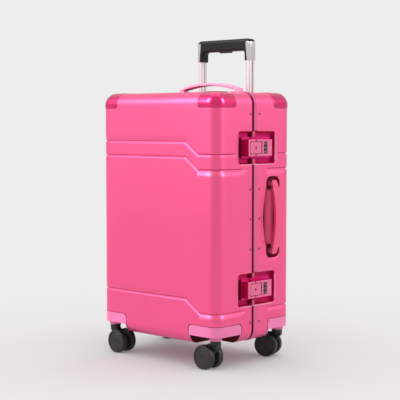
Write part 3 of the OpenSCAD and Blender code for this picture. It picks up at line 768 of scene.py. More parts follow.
def shell_lines(low_y, high_y):
    """Grid lines of a shell. Its close stretches, each from, to and step, are the bends and
    ends of the grooves, the walls of the recesses and the edges of the housings."""
    walls = []
    for z in LATCH_ZS:
        walls += [(z - 36.75, z - 27, 0.75), (z + 27, z + 34.5, 0.75)]
    rim = RECESS_HALF_H
    xs = grid_lines(-HALF_W, HALF_W, arc_marks(HALF_W) + [-CUP_HALF, CUP_HALF],
                    [(82, 126, 1.1), (91, 99.5, 0.8), (-99.5, -91, 0.8)], 14)
    ys = [(LATCH_Y[0] - 1, LATCH_Y[0] + 7, 0.75), (LATCH_Y[1] - 7, LATCH_Y[1] + 3, 0.75),
          (BACK_EDGE, BACK_EDGE + 2, 0.5), (FRONT_EDGE - 2, FRONT_EDGE, 0.5),
          (25, 36, 1.0), (34.5, 48, 0.9), (65, 79, 0.9), (39.5, 48, 0.8), (-48, -39.5, 0.8)]
    ys = grid_lines(low_y, high_y, arc_marks(HALF_D) + [CUP_Y, BACK_EDGE, FRONT_EDGE], ys, 12)
    zs = grid_lines(Z0, Z1, arc_marks(HALF_H, MID_Z) + [MID_Z + HALF_H - 10.1],
                    walls + [(399, 462, 1.1), (110, 143, 1.1), (80, 90, 0.8),
                             (HANDLE_Z - rim - 1, HANDLE_Z - rim + 13, 0.9),
                             (HANDLE_Z + rim - 13, HANDLE_Z + rim + 1, 0.9),
                             (HANDLE_Z - 64, HANDLE_Z + 64, 1.8)], 13)
    return xs, ys, zs


def in_latch(p):
    """True on the strip of recess that crosses the frame."""
    return p.x > HALF_W - 1 and any(abs(p.z - z) < LATCH_HALF_H + 2 for z in LATCH_ZS)


def in_cup(p):
    return abs(p.x) < CUP_HALF and p.y > CUP_Y and p.z > CUP_Z


def make_shell(side):
    """One moulded half: the outer skin with everything pressed into it, and a plainer inner
    face a wall's thickness behind."""
    back = side == "back"
    low, high = (BACK_EDGE, HALF_D) if back else (-HALF_D, FRONT_EDGE)
    xs, ys, zs = shell_lines(BACK_FRAME if back else low, high if back else FRONT_FRAME)

    def keep(p, out):
        if BACK_EDGE > p.y > FRONT_EDGE:
            return in_latch(p)
        return housing_gap(p) > -2.2 and not (back and in_cup(p))

    def pick(p, out):
        dip = recess_dip(p)
        by_handle = abs(p.z - HANDLE_Z) < RECESS_HALF_H + 5
        # The handle recess's floor is painted in shade up to SHADED_Y and painted lit beyond it.
        if dip > RECESS_DEPTH - 1.2:
            return "recess_floor" if p.y > SHADED_Y else "cavity"
        # Painted shade on the recesses' walls: deep shade round the handle recess, plainer shade
        # in the latch recesses.
        if dip > (0.9 if by_handle else 1.6):
            return "recess_wall" if by_handle else "recess"
        # A painted highlight along the back and lower rims of each latch recess, where light
        # catches them.
        if p.x > HALF_W - 1 and not by_handle:
            latch_z = min(LATCH_ZS, key=lambda h: abs(p.z - h))
            low_z, high_z = latch_z - LATCH_HALF_H, latch_z + LATCH_HALF_H
            gap = rect_gap(p.y, p.z, *LATCH_Y, low_z, high_z, 7)
            by_side = p.y > LATCH_Y[1] - 8 and low_z + 7 < p.z < high_z - 7
            below = p.z < latch_z and LATCH_Y[0] + 7 < p.y < LATCH_Y[1] - 7
            if gap < RIM_W and (by_side or below):
                return "rim"
        # A thin line round the wheel housings is painted in gap shade.
        if housing_gap(p) < 1.0:
            return "seam"
        # The upper wall of each groove, where less light falls, is painted darker as painted
        # shade.
        dip = groove_dip(p, out)
        upper = groove_dip(p + Vector((0, 0, 0.5)), out) < dip
        return "crease" if upper and dip > 0.25 * GROOVE_DEPTH else "shell"
    outer = case_skin(side + "_shell_outer", xs, ys, zs, shell_dip, "shell", keep,
                      ["recess", "seam", "crease", "recess_wall", "recess_floor", "cavity", "rim"],
                      pick)

    coarse = [grid_lines(-HALF_W, HALF_W, arc_marks(HALF_W, steps=3)
                         + [-CUP_HALF, CUP_HALF, -HOUSING[0], HOUSING[0]], (), 30),
              grid_lines(low, high, arc_marks(HALF_D, steps=3)
                         + [HOUSING[1], -HOUSING[1], CUP_Y],
                         [(25, 80, 4), (-55, -45, 3)], 30),
              grid_lines(Z0, Z1, arc_marks(HALF_H, MID_Z, 3) + [HOUSING[2], Z1 - 10.1],
                         [(z - 36, z + 36, 4) for z in LATCH_ZS]
                         + [(HANDLE_Z - 90, HANDLE_Z + 90, 5)], 30)]
    inner = case_skin(side + "_shell_inner", *coarse,
                      lambda p, out: WALL + GROOVE_DEPTH + recess_dip(p), "shell",
                      lambda p, out: housing_gap(p) > 0.5 and not (back and in_cup(p)))
    inner.data.flip_normals()
    shell = join([outer, inner], side + "_half_shell")
    return place(shell, side + "_shell")


def make_guards(side):
    """The glossy caps on the top corners: raised skins with painted shade round their edge."""
    def near_edge(inner):
        return [(inner - 1, inner + 6, 0.45)]

    def flipped(lines, sign):
        return lines if sign > 0 else [-v for v in reversed(lines)]

    def lift(p, _):
        return -0.12 - 0.88 * smooth((-0.5 - guard_gap(p)) / 0.9)
    xs = grid_lines(GUARD[0] - 1, HALF_W, arc_marks(HALF_W, steps=9), near_edge(GUARD[0]), 4)
    ys = grid_lines(GUARD[1] - 1, HALF_D, arc_marks(HALF_D, steps=9), near_edge(GUARD[1]), 4)
    zs = grid_lines(GUARD[2] - 1, Z1, arc_marks(HALF_H, MID_Z, 9), near_edge(GUARD[2]), 4)
    ys = flipped(ys, 1 if side == "back" else -1)
    # Each guard's edge band is painted in the rim shade.
    halves = [case_skin(side + "_guard", flipped(xs, s), ys, zs, lift, "guard",
                        lambda p, _: guard_gap(p) < 0.6, ["guard_rim"],
                        lambda p, _: "guard_rim" if guard_gap(p) > -0.45 else "guard")
              for s in (-1, 1)]
    return place(join(halves, side + "_guards"), side + "_corner_guards")


def make_housings(side):
    """The moulded wheel housings: the design's own shape with its upper corners rounded off,
    its brow lifted a little away from the corner, soft edges, and painted shade in their hollows."""
    t = 1 if side == "back" else -1
    mats = ("housing", "cavity")
    ones = []
    for s in (-1, 1):
        one = cad_copy(side + "_wheel_housings", side + "_housing", mats, 1.0)
        across = sorted((s * (HOUSING[0] + 0.3), s * 200))
        along = sorted((t * (HOUSING[1] + 0.3), t * 150))
        for axis, sign, span, reach in (("y", s, across, along), ("x", t, along, across)):
            radii = (0, 0, 0, 8) if sign > 0 else (0, 0, 8, 0)
            outline = rounded_outline(*span, 0, HOUSING[2] - 0.3, radii)
            boolean(one, prism(outline, axis, *reach), "INTERSECT")
        ones.append(one)

    # Faces deep inside a housing are painted in cavity shade, save the upright sides of the
    # caster's boss.
    def hollow_or_skin(c, normal):
        boss = math.hypot(abs(c.x) - CASTER[0], abs(c.y) - CASTER[1]) < BOSS_R
        inside = depth_inside(c) > 1.0 and c.z < HOUSING[2] - 2
        return "cavity" if inside and not (boss and abs(normal.z) < 0.5) else "housing"
    both = paint(join(ones, side + "_housings"), mats, hollow_or_skin)
    return place(bevel_now(both, 0.7), side + "_wheel_housings")


# ------------------------------------------------------------------ frames, locks and hinges
def lip_pick(c, _):
    """The outer lip of the front frame, which lies in the shadow of the seam and is painted dark
    as that shade.
    """
    in_gap = FRONT_EDGE < c.y < FRONT_FRAME + 0.1 and depth_inside(c) < 0.5
    return "seam" if in_gap else "frame"


def sink_head(v):
    """Draws a rivet's head in, so that it slides clear of the tube round it."""
    reach = POST_X + POST_HALF_W
    return (math.copysign(min(abs(v.x), reach + 0.22), v.x), v.y, v.z)


def joint_place(name):
    """A joint's axis and the point it turns round, in mm."""
    joint = next(j for j in frame["record"]["behaviour"]["joints"] if j["name"] == name)
    return Vector(joint["axis"]).normalized(), Vector(joint["pos_m"]) / MM


TYRE = [(3.1, 6.4), (22.6, 6.4), (24.3, 7.0), (24.9, 8.6), (25.0, 12.8), (24.9, 16.9),
        (24.2, 18.5), (22.8, 19.2), (20.6, 19.3), (19.4, 19.0), (18.9, 18.2), (18.2, 17.9),
        (17.6, 18.2), (17.3, 18.5), (12.9, 18.55), (12.3, 18.1), (11.3, 18.1), (10.8, 18.55),
        (6.0, 18.55), (5.4, 18.2), (3.1, 18.2)]
HUB_R = 18.3


def make_wheels(corner):
    """A pair of turned wheels: a soft tyre round a hub disc with two shallow rings."""
    axis, middle = joint_place(corner + "_roll")

    def hub_or_tyre(c, _):
        return "hub" if math.hypot(c.x, c.z) < HUB_R and abs(c.y) > 12 else "tyre"
    pair = [lathe([(r, s * t) for r, t in TYRE], "wheel", 72, ["tyre", "hub"], hub_or_tyre)
            for s in (-1, 1)]
    wheels = join(pair, corner + "_tyres")
    turn = axis.cross(Vector((0, 0, 1))).normalized()
    frame_axes = Matrix((turn, axis, turn.cross(axis))).transposed().to_4x4()
    wheels.data.transform(Matrix.Translation(middle * MM) @ frame_axes)
    return place(outward(settle(wheels, 28)), corner + "_wheels")


def plain_hardware():
    """Pieces whose design shape is right, with softened edges and their own finish."""
    for node, mat, width in [
            ("back_frame", "frame", 0.7), ("back_rivets", "rivet", 0.2),
            ("front_rivets", "rivet", 0.2), ("trolley_cup", "black", 0.5),
            ("trolley_outer_tubes", "tube", 0.25), ("trolley_base_bracket", "black", 1.0),
            # The side handle's mounts are painted in cavity shade.
            ("top_handle_mounts", "housing", 1.2), ("side_handle_mounts", "cavity", 1.0),
            ("latch_pins", "steel", 0.15), ("dial_shafts", "steel", 0.15),
            ("hinge_back_leaves", "frame", 0.5), ("hinge_front_leaves", "frame", 0.5),
            ("hinge_pins", "steel", 0.4),
            ("trolley_middle_tubes", "tube", 0.25),
            ("trolley_button", "gloss_black", 0.8),
            ("trolley_release_rods", "tube", 0.3)]:
        finish(node, mat, width)
    finish("front_frame", "frame", 0.35, mats=("seam",), pick=lip_pick)
    finish("trolley_tube_rivets", "black", 0.05, nudge=sink_head)
    for corner in ("front_right", "front_left", "back_right", "back_left"):
        finish(corner + "_fork", "black", 0.8)
        finish(corner + "_axle", "black", 0.3)
        make_wheels(corner)


# ------------------------------------------------------------------ seam, locks and dials
def case_loop(name, profile, mat, cuts=()):
    """A strip swept round the case's outline in the plane of its seam, from (offset, y)
    points, left out at the heights in cuts on the right side."""
    flat_x, flat_z = HALF_W - EDGE_R, HALF_H - EDGE_R
    marks = sorted({-flat_z, flat_z, *[c - MID_Z for cut in cuts for c in cut]})
    rail = [(flat_x, z, 0) for z in marks]
    for quarter, (sx, sz) in enumerate(((1, 1), (-1, 1), (-1, -1), (1, -1))):
        steps = range(1 if quarter == 0 else 0, 12 if quarter == 3 else 13)
        rail += [(sx * flat_x, sz * flat_z, 90 * (quarter + i / 12)) for i in steps]
    verts, faces, count = [], [], len(profile)
    for x, z, turn in rail:
        c, d = math.cos(math.radians(turn)), math.sin(math.radians(turn))
        verts += [(x + (EDGE_R + offset) * c, y, MID_Z + z + (EDGE_R + offset) * d)
                  for offset, y in profile]
    for i in range(len(rail)):
        j = (i + 1) % len(rail)
        middle = MID_Z + (rail[i][1] + rail[j][1]) / 2
        if rail[i][2] == rail[j][2] == 0 and any(a < middle < b for a, b in cuts):
            faces.append([i * count + k for k in range(count)])
            faces.append([j * count + k for k in reversed(range(count))])
            continue
        faces += between(i * count, j * count, count)
    return settle(outward(new_piece(name, verts, faces, mat)))


LATCH_CUTS = [(z - LATCH_HALF_H - 2, z + LATCH_HALF_H + 2) for z in LATCH_ZS]
LOCK_FLOOR, LOCK_FACE = [corner[0] for corner in box_mm("latch_housings")[:2]]
KEY_Y = -6.0
POCKET_HALF = 12.9
DIAL = (170.3, 23.4)                        # the dials' x and y
FIGURE_R = 7.9                              # how far out the figures are painted


def make_seal():
    """The rubber seal that shows in the gap between the two frames, darkened as painted shade of
    the gap.
    """
    gap = [(-0.75, FRONT_FRAME + 0.25), (-0.6, FRONT_FRAME + 0.6), (-0.6, BACK_FRAME - 0.4),
           (-0.75, BACK_FRAME), (-1.4, BACK_FRAME), (-1.4, FRONT_FRAME + 0.25)]
    return place(case_loop("seam_seal", gap, "seam", LATCH_CUTS), "frame_seal")


def latch_pick(c, n):
    """A lock case's materials: its own pale paint on the face and a painted highlight on upward
    ledges, painted shade in deep magenta on its other sides, and painted shade in its pocket.
    """
    z = min((c.z - h for h in LATCH_ZS), key=abs)
    in_pocket = abs(z) < POCKET_HALF + 0.2 and -24.5 < c.y < 13.5
    # The pocket inside the case is painted in gap shade.
    if in_pocket and LOCK_FLOOR + 3 < c.x < LOCK_FACE - 0.2:
        return "seam"
    # The outward face keeps the lock case's own paint; the base plate's upward ledges are a
    # painted highlight; the rest is painted shade.
    face = n.x > 0.8 and c.x > LOCK_FACE - 0.5
    ledge = n.z > 0.8 and c.x < LOCK_FLOOR + 3
    return "lock" if face or ledge else "lock_deep"


def clasp_nudge(v):
    """Draws the flap's edge in a little, so that the gap round it reads as a line."""
    z0 = min(LATCH_ZS, key=lambda h: abs(v.z - h))
    z = v.z - z0
    if abs(z) > 12:
        z -= math.copysign(0.7, z)
    y = v.y + (0.7 if v.y < -23 else -0.3 if v.y > 10.5 else 0)
    return (v.x, y, z0 + z)


def key_pick(c, _):
    z = min((c.z - h for h in LATCH_ZS), key=abs)
    # The key's slot is painted in gap shade.
    in_slot = abs(c.y - KEY_Y) < 0.7 and abs(z) < 1.8 and c.x < LOCK_FACE + 0.2
    return "seam" if in_slot else "rivet"


# The lit bars of each figure: top, middle, bottom, upper left, upper right, lower left, right
FIGURES = ["1011111", "0000101", "1110110", "1110101", "0101101", "1111001", "1111011",
           "1000101", "1111111", "1111101"]


def raised(verts, faces, low, high):
    """Adds a raised mark to a mesh's points and faces: a top and sides over four points."""
    start = len(verts)
    verts += low + high
    faces += [[start + 4, start + 5, start + 6, start + 7], *between(start, start + 4, 4)]


def make_dial(node):
    """A black thumb wheel with ten flats and a pale figure on each."""
    middle = Vector((*DIAL, box_mm(node)[2][2]))
    body = rounded_copy(node, "black", 0.5)
    verts, faces = [], []
    w, h, t = 1.15, 1.75, 0.22
    bars = [((-w, h - t), (w, h + t)), ((-w, -t), (w, t)), ((-w, -h - t), (w, -h + t)),
            ((-w - t, 0), (-w + t, h)), ((w - t, 0), (w + t, h)),
            ((-w - t, -h), (-w + t, 0)), ((w - t, -h), (w + t, 0))]
    for number, lit in enumerate(FIGURES):
        turn = math.radians(36 * number)
        out = Vector((math.cos(turn), math.sin(turn), 0))
        along = Vector((-math.sin(turn), math.cos(turn), 0))
        for flag, ((u0, v0), (u1, v1)) in zip(lit, bars):
            if flag == "1":
                low, high = [[middle + out * lift + along * u + Vector((0, 0, v))
                              for u, v in ((u0, v0), (u1, v0), (u1, v1), (u0, v1))]
                             for lift in (FIGURE_R, FIGURE_R + 0.25)]
                raised(verts, faces, low, high)
    figures = outward(new_piece("figures", verts, faces, "figure"))
    return place(join([body, figures], node + "_wheel"), node)


def make_latches():
    for node in ("latch_housings", "latch_keepers"):
        finish(node, "lock_deep", 0.6, mats=("lock", "seam"), pick=latch_pick)
    for latch, z in zip(("upper", "lower"), LATCH_ZS):
        finish(latch + "_clasp", "lock", 0.5, nudge=clasp_nudge)
        finish(latch + "_key_cylinder", "rivet", 0.25, mats=("seam",), pick=key_pick)
        for i in (1, 2, 3):
            make_dial(f"{latch}_dial_{i}")
        arrow = prism([(36.2, z), (38.6, z + 1.5), (38.6, z + 0.5), (40.2, z + 0.5),
                       (40.2, z - 0.5), (38.6, z - 0.5), (38.6, z - 1.5)], "x",
                      LOCK_FACE - 0.1, LOCK_FACE + 0.12, "mark", latch + "_arrow")
        place(arrow, body="back_half")
        # A dark block painted as the shade in the gap beside each lock case.
        slot = block(latch + "_slot", "x", (-34.4, z), (2.6, 20.5),
                     (LOCK_FLOOR - 1, LOCK_FLOOR + 0.5), 1.5, "seam")
        place(bevel_now(slot, 0.3), body="front_half")
        for s in (-1, 1):
            # The ribs in a latch recess are painted in the recess's shade.
            rib = block(f"{latch}_rib_{s + 1}", "x", (-0.5, z + s * 28.5), (4.1, 6.1),
                        (LOCK_FLOOR - 1, 166.5), 1.0, "recess")
            place(bevel_now(rib, 1.2), body="back_half")


# ------------------------------------------------------------------ trolley handle
grip_low, grip_high, grip_middle = box_mm("trolley_grip")
POST_Y = grip_middle[1]
GRIP_HALF, GRIP_TOP, GRIP_BOTTOM = grip_high[0], grip_high[2], grip_low[2]
GRIP_EDGE_R, GRIP_HALF_D = 5.5, 11.0
CAP_Z = box_mm("trolley_grip_caps")[0][2]
CAP_TOP, CAP_X = 672.0, 70.0                # where the metal of the caps ends
LEG_W = 17.4
CHANNEL_DEPTH = 0.9
CHANNEL_MOUTH, CHANNEL_FLOOR = 1.6, 1.1     # half the channel's width, at its top and bottom
LOCK_HOLES, LOCK_HOLE_R = (7.0, 18.5), 1.5  # below the cap, on the right post


def grip_outline(inset):
    """Front view of the handle, an upside-down U, drawn in by an inset."""
    out_x, top, r = GRIP_HALF - inset, GRIP_TOP - inset, 11 - inset
    in_x, under, inner_r = GRIP_HALF - LEG_W + inset, GRIP_BOTTOM + inset, 7 + inset
    foot = CAP_Z + inset * 0.15

    def arc(cx, cz, radius, start, end):
        return [(cx + radius * math.cos(math.radians(start + (end - start) * i / 8)),
                 cz + radius * math.sin(math.radians(start + (end - start) * i / 8)))
                for i in range(9)]
    steps = 7
    right_down = [(out_x, top - r + (foot - top + r) * i / steps) for i in range(1, steps + 1)]
    right_up = [(in_x, foot + (under - inner_r - foot) * i / steps) for i in range(steps)]
    half = (arc(out_x - r, top - r, r, 90, 0) + right_down + right_up
            + arc(in_x - inner_r, under - inner_r, inner_r, 0, 90))
    return half + [(-x, z) for x, z in reversed(half)]


def make_grip():
    """The black handle with bright metal down its outer corners."""
    turns = [math.radians(90 * i / 6) for i in range(7)]
    rings = [(GRIP_EDGE_R * (1 - math.sin(a)), GRIP_EDGE_R * (1 - math.cos(a)) - GRIP_HALF_D)
             for a in turns]
    rings += [(inset, -y) for inset, y in reversed(rings)]
    grip = loft("grip_body", [[(x, POST_Y + y, z) for x, z in grip_outline(inset)]
                              for inset, y in rings], "gloss_black", ["chrome"])
    with editing(grip.data) as bm:
        for at, normal in (((-CAP_X, 0, CAP_Z), (-1, 0, 0.1)), ((CAP_X, 0, CAP_Z), (1, 0, 0.1)),
                           ((0, 0, CAP_TOP), (0, 0, 1))):
            bmesh.ops.bisect_plane(bm, geom=bm.verts[:] + bm.edges[:] + bm.faces[:],
                                   plane_co=Vector(at) * MM, dist=1e-6,
                                   plane_no=Vector(normal).normalized())
        for face in bm.faces:
            c = face.calc_center_median() / MM
            edge = CAP_X - 0.1 * (c.z - CAP_Z)
            face.material_index = int(abs(c.x) > edge and c.z < CAP_TOP)    # 1 is chrome
    return place(settle(grip, 40), "trolley_grip", "trolley_grip_caps")


def post_outline(grow=0.0):
    """Section of a post: rounded, with a shallow channel down each side."""
    w, d, r = POST_HALF_W + grow, POST_HALF_D + grow, 4 + grow
    corner = rounded_outline(-w, w, -d, d, r, 5)
    out = []
    for (x0, y0), (x1, y1) in zip(corner, corner[1:] + corner[:1]):
        out.append((x0, y0))
        if abs(x0 - x1) < 0.01 and abs(y0 - y1) > 4:
            s, t = (1 if x0 > 0 else -1), (1 if y1 > y0 else -1)
            floor = x0 - s * CHANNEL_DEPTH
            out += [(x0, -CHANNEL_MOUTH * t), (floor, -CHANNEL_FLOOR * t),
                    (floor, CHANNEL_FLOOR * t), (x0, CHANNEL_MOUTH * t)]
    return out


def hollow(outline, bore, low, high, mats):
    """An upright tube between two outlines with the same number of points."""
    count = len(outline)
    verts = [(x, y, z) for z in (low, high) for ring in (outline, bore) for x, y in ring]
    outer, inner, outer_top, inner_top = [count * i for i in range(4)]
    faces = [face for a, b in ((outer, outer_top), (inner, inner_top), (outer, inner),
                               (outer_top, inner_top)) for face in between(a, b, count)]
    return outward(new_piece("tube", verts, faces, mats[0], mats[1:]))


def make_posts():
    """The two posts, each a tube with a channel down its sides and a painted dark reflection down
    two of its edges, and on the right one dark discs, painted as the shade inside its holes.
    """
    low, high, _ = box_mm("trolley_inner_tubes")
    mats = ["post", "post_line", "steel"]
    tubes = []

    def reflection_or_channel(c, _):
        x, y = c.x - math.copysign(POST_X, c.x), c.y - POST_Y
        if abs(y) < 1.5 and 4.9 < abs(x) < 5.99:
            return "steel"
        # Two opposite edges of each post are painted with a dark reflection.
        return "post_line" if abs(y) > 7 and 4.6 < abs(x) < 5.9 and x * y > 0 else "post"
    for s in (-1, 1):
        outline, bore = [[(s * POST_X + x, POST_Y + y) for x, y in post_outline(grow)]
                         for grow in (0, -POST_WALL)]
        tubes.append(paint(hollow(outline, bore, low[2], high[2], mats), mats, reflection_or_channel))
    channel_floor = POST_X + POST_HALF_W - CHANNEL_DEPTH
    # Dark discs in the right post's channel, painted as the shade inside its holes.
    for drop in LOCK_HOLES:
        tubes.append(block("lock_hole", "x", (POST_Y, CAP_Z - drop), (LOCK_HOLE_R, LOCK_HOLE_R),
                           (channel_floor, channel_floor + 0.45), 0.9 * LOCK_HOLE_R, "seam"))
    return place(settle(join(tubes, "inner_posts"), 50), "trolley_inner_tubes")


# ------------------------------------------------------------------ carry handles
def bow(name, half, rise, width, thick, mat, point):
    """A curved bar whose ends narrow to flat tabs past a small step. point(along, across,
    height) puts it in place; its highest point is height 0."""
    r = (half * half + rise * rise) / (2 * rise)
    stops = [half, half - 0.4, half - 1.2, half - 2.6, half - 4.5, half - 7]
    stops += [half - 14.5, half - 15.2, half - 16.0, half - 17.5]
    stops += [(half - 17.5) * (1 - i / 12) for i in range(1, 12)]
    along = sorted({s * a for a in stops for s in (-1, 1)} | {0.0})
    rings = []
    for a in along:
        left = half - abs(a)
        step = smooth((17 - left) / 2.2)
        w = width / 2 - 2.2 * step - 0.8 * smooth((half - left) / half)
        if left < 6:
            w -= 6 * (1 - math.sqrt(max(0, 1 - ((6 - left) / 6) ** 2)))
        top, under = -1.1 * step, -thick + 0.3 * step
        if left < 1.5:
            top -= 1.2 * (1 - left / 1.5)
            under += 1.2 * (1 - left / 1.5)
        section = rounded_outline(-w, w, under, top, min(2.4, (top - under) / 2 - 0.2), 5)
        tilt = math.asin(a / r)
        crest = math.sqrt(r * r - a * a) - r
        rings.append([point(a + v * math.sin(tilt), u, crest + v * math.cos(tilt))
                      for u, v in section])
    return loft(name, rings, mat)


TOP_FOOT_X, SIDE_FOOT_Z = 81, 70            # from a handle's middle to its feet


def make_carry_handles():
    """Both handles: a bow on two feet that slide in their mounts."""
    low, high, (_, mid_y, _) = box_mm("top_handle")
    top = high[2]
    pieces = [bow("bow", high[0], 13, 24, 6.5, "handle", lambda a, u, h: (a, mid_y + u, top + h))]
    # The bow's downward faces are painted in deep shade.
    pieces[0].data.materials.append(M["recess_wall"])
    paint(pieces[0], ["handle", "recess_wall"],
          lambda _, normal: "recess_wall" if normal.z < -0.8 else "handle")
    for s in (-1, 1):
        pieces.append(block("foot", "z", (s * TOP_FOOT_X, mid_y), (7, 8), (low[2], top - 13), 2,
                            "handle"))
    place(settle(join(pieces, "top_handle_bow"), 34), "top_handle")
    low, high, _ = box_mm("side_handle")
    reach = high[0]
    pieces = [bow("bow", (high[2] - low[2]) / 2, 14, 24, 8, "side_grip",
                  lambda a, u, h: (reach + h, HANDLE_Y + u, HANDLE_Z - a))]
    for s in (-1, 1):
        pieces.append(block("foot", "x", (HANDLE_Y, HANDLE_Z + s * SIDE_FOOT_Z), (7, 5),
                            (low[0], reach - 14), 1.5, "side_grip"))
    place(settle(join(pieces, "side_handle_bow"), 34), "side_handle")


# ------------------------------------------------------------------ fabric inside the case
LINING_IN = 2 * WALL + 1.1
CLOTH = 0.7
FADE, WHEEL_FADE = 11.0, 11.5               # the lengths over which its bulges rise
LOCKS_X, LOCKS_Y, LOCKS_Z = 141.8, (-69, 94), (106, 497)    # round the locks and side handle
TUBES_X, TUBES_Y = 99, 78.8                 # in front of the trolley's tubes
MOUNTS_X, MOUNTS_Y, MOUNTS_Z = 110, 20, 543.6               # under the top handle and the cup
WHEELS_X, WHEELS_Y, WHEELS_Z = 80, 29, 91.2                 # over the wheel housings


def fabric_limits(p):
    """Where the lining may lie at a point: its furthest right, back, up and down, in mm. It
    bulges round the locks, the handle's posts and mounts, and the wheel housings."""
    x, y, z = p

    def limit(wall, bulge, inside, fade=FADE):
        """The wall's own place, or the bulge's as far as the point is inside its bounds."""
        return wall + (bulge - wall) * math.prod(smooth(gap / fade) for gap in inside)
    right = limit(HALF_W - LINING_IN, LOCKS_X,
                  (z - LOCKS_Z[0], LOCKS_Z[1] - z, y - LOCKS_Y[0], LOCKS_Y[1] - y))
    back = limit(HALF_D - LINING_IN, TUBES_Y, (TUBES_X - abs(x),))
    up = limit(Z1 - LINING_IN, MOUNTS_Z, (MOUNTS_X - abs(x), y - MOUNTS_Y))
    down = limit(Z0 + LINING_IN, WHEELS_Z, (abs(x) - WHEELS_X, abs(y) - WHEELS_Y), WHEEL_FADE)
    return right, back, up, down


def hang(point):
    """Where a point of the case's skin is drawn in to by the lining, with soft puckers."""
    out = from_core(point)[1].normalized()
    q = point - out * LINING_IN
    right, back, up, down = fabric_limits(q)
    q = Vector((min(q.x, right), min(q.y, back), max(down, min(q.z, up))))
    spot = q * 0.02
    pucker = 1.1 * abs(noise.noise(spot)) + 0.5 * abs(noise.noise(spot * 3.1 + Vector((5, 1, 2))))
    return q - out * pucker


def make_lining(side):
    """The lining of one half: one cloth that follows the walls from the frame inwards."""
    back = side == "back"
    low, high = (BACK_EDGE + 1.4, HALF_D) if back else (-HALF_D, FRONT_EDGE - 1.4)
    xs = grid_lines(-HALF_W, HALF_W, arc_marks(HALF_W, steps=3), [(-112, -78, 4), (78, 112, 4)], 7)
    ys = grid_lines(low, high, arc_marks(HALF_D, steps=3),
                    [(26, 42, 4), (-42, -26, 4), (-72, -55, 4), (80, 96, 4)], 7)
    zs = grid_lines(Z0, Z1, arc_marks(HALF_H, MID_Z, 3), [(78, 120, 4), (484, 500, 4)], 8)
    skin = case_skin(side + "_cloth", xs, ys, zs, lambda p, out: 0, "lining")
    skin.data.flip_normals()
    for v in skin.data.vertices:
        v.co = hang(v.co / MM) * MM
    lining = settle(modified(skin, "SOLIDIFY", thickness=CLOTH * MM, offset=1), 60)
    lining.name = side + "_lining_cloth"
    place(lining, side + "_lining")


PANEL_IN = 2 * WALL + 1.8
PANEL_HALF, PANEL_R = HALF_W - PANEL_IN, EDGE_R - PANEL_IN
PANEL_LOW, PANEL_HIGH = Z0 + PANEL_IN, Z1 - PANEL_IN
PANEL_Y = -12.9
ZIP_INSET = 13.0


def panel_edges(z, inset=0.0):
    """The divider panel's left and right edges at a height, drawn in by an inset."""
    low, high, r = PANEL_LOW + inset, PANEL_HIGH - inset, PANEL_R - inset * 0.4
    near = max(0.0, r - min(z - low, high - z))
    cut = r - math.sqrt(max(0.0, r * r - min(near, r) ** 2))
    half = PANEL_HALF - inset - cut
    notch = smooth((z - 104) / 12) * smooth((499 - z) / 12)
    return -half, half - (PANEL_HALF - 141.0) * notch


def ribbon(name, path, width, thick, mat, bulge=None):
    """A flat band along points in space, lying across Y. bulge(i) changes its thickness."""
    rings = []
    for i, here in enumerate(path):
        ahead = Vector(path[min(i + 1, len(path) - 1)]) - Vector(path[max(i - 1, 0)])
        across = Vector((ahead.z, 0, -ahead.x)).normalized() * width / 2
        deep = Vector((0, thick / 2 * (bulge(i) if bulge else 1), 0))
        here = Vector(here)
        rings.append([here - across - deep, here + across - deep, here + across + deep,
                      here - across + deep])
    return loft(name, rings, mat)


def teeth(i):
    return 1.0 if i % 2 else 0.45


def even_path(points, step):
    """The same line with its points a step apart."""
    out, carry = [Vector(points[0])], 0.0
    for a, b in zip(points, points[1:]):
        a, b = Vector(a), Vector(b)
        length = (b - a).length
        at = step - carry
        while at <= length:
            out.append(a.lerp(b, at / length))
            at += step
        carry = length - (at - step)
    return out


def zip_on(path, name):
    """A coil zip along a path: its tape, its teeth, and a slider with a pull."""
    tape = ribbon("tape", path, 9.0, 0.5, "zip")
    line = even_path([p + Vector((0, 0.5, 0)) for p in path], 1.3)
    chain = ribbon("chain", line, 3.4, 1.2, "zip", teeth)
    end = Vector(path[-1])
    slider = block("slider", "y", (end.x + 0.5, end.z), (4.5, 4.2), (end.y, end.y + 2.6), 2,
                   "steel")
    pull = block("pull", "y", (end.x + 12.25, end.z), (8.75, 2.4), (end.y + 1.2, end.y + 2.2), 2,
                 "steel")
    return settle(join([tape, chain, bevel_now(slider, 0.5), bevel_now(pull, 0.3)], name), 40)


def stitches(path, name, y):
    """A row of short raised threads beside a seam."""
    rows = even_path([(p[0], y, p[2]) for p in path], 3.2)
    verts, faces = [], []
    for a, b in zip(rows, rows[1:]):
        ahead = (b - a).normalized()
        across = Vector((ahead.z, 0, -ahead.x)) * 0.3
        start, end = a + ahead * 0.5, a + ahead * 2.6
        low, high = [[start - across * size + lift, end - across * size + lift,
                      end + across * size + lift, start + across * size + lift]
                     for lift, size in ((Vector(), 1.0), (Vector((0, 0.35, 0)), 0.6))]
        raised(verts, faces, low, high)
    return outward(new_piece(name, verts, faces, "mark"))


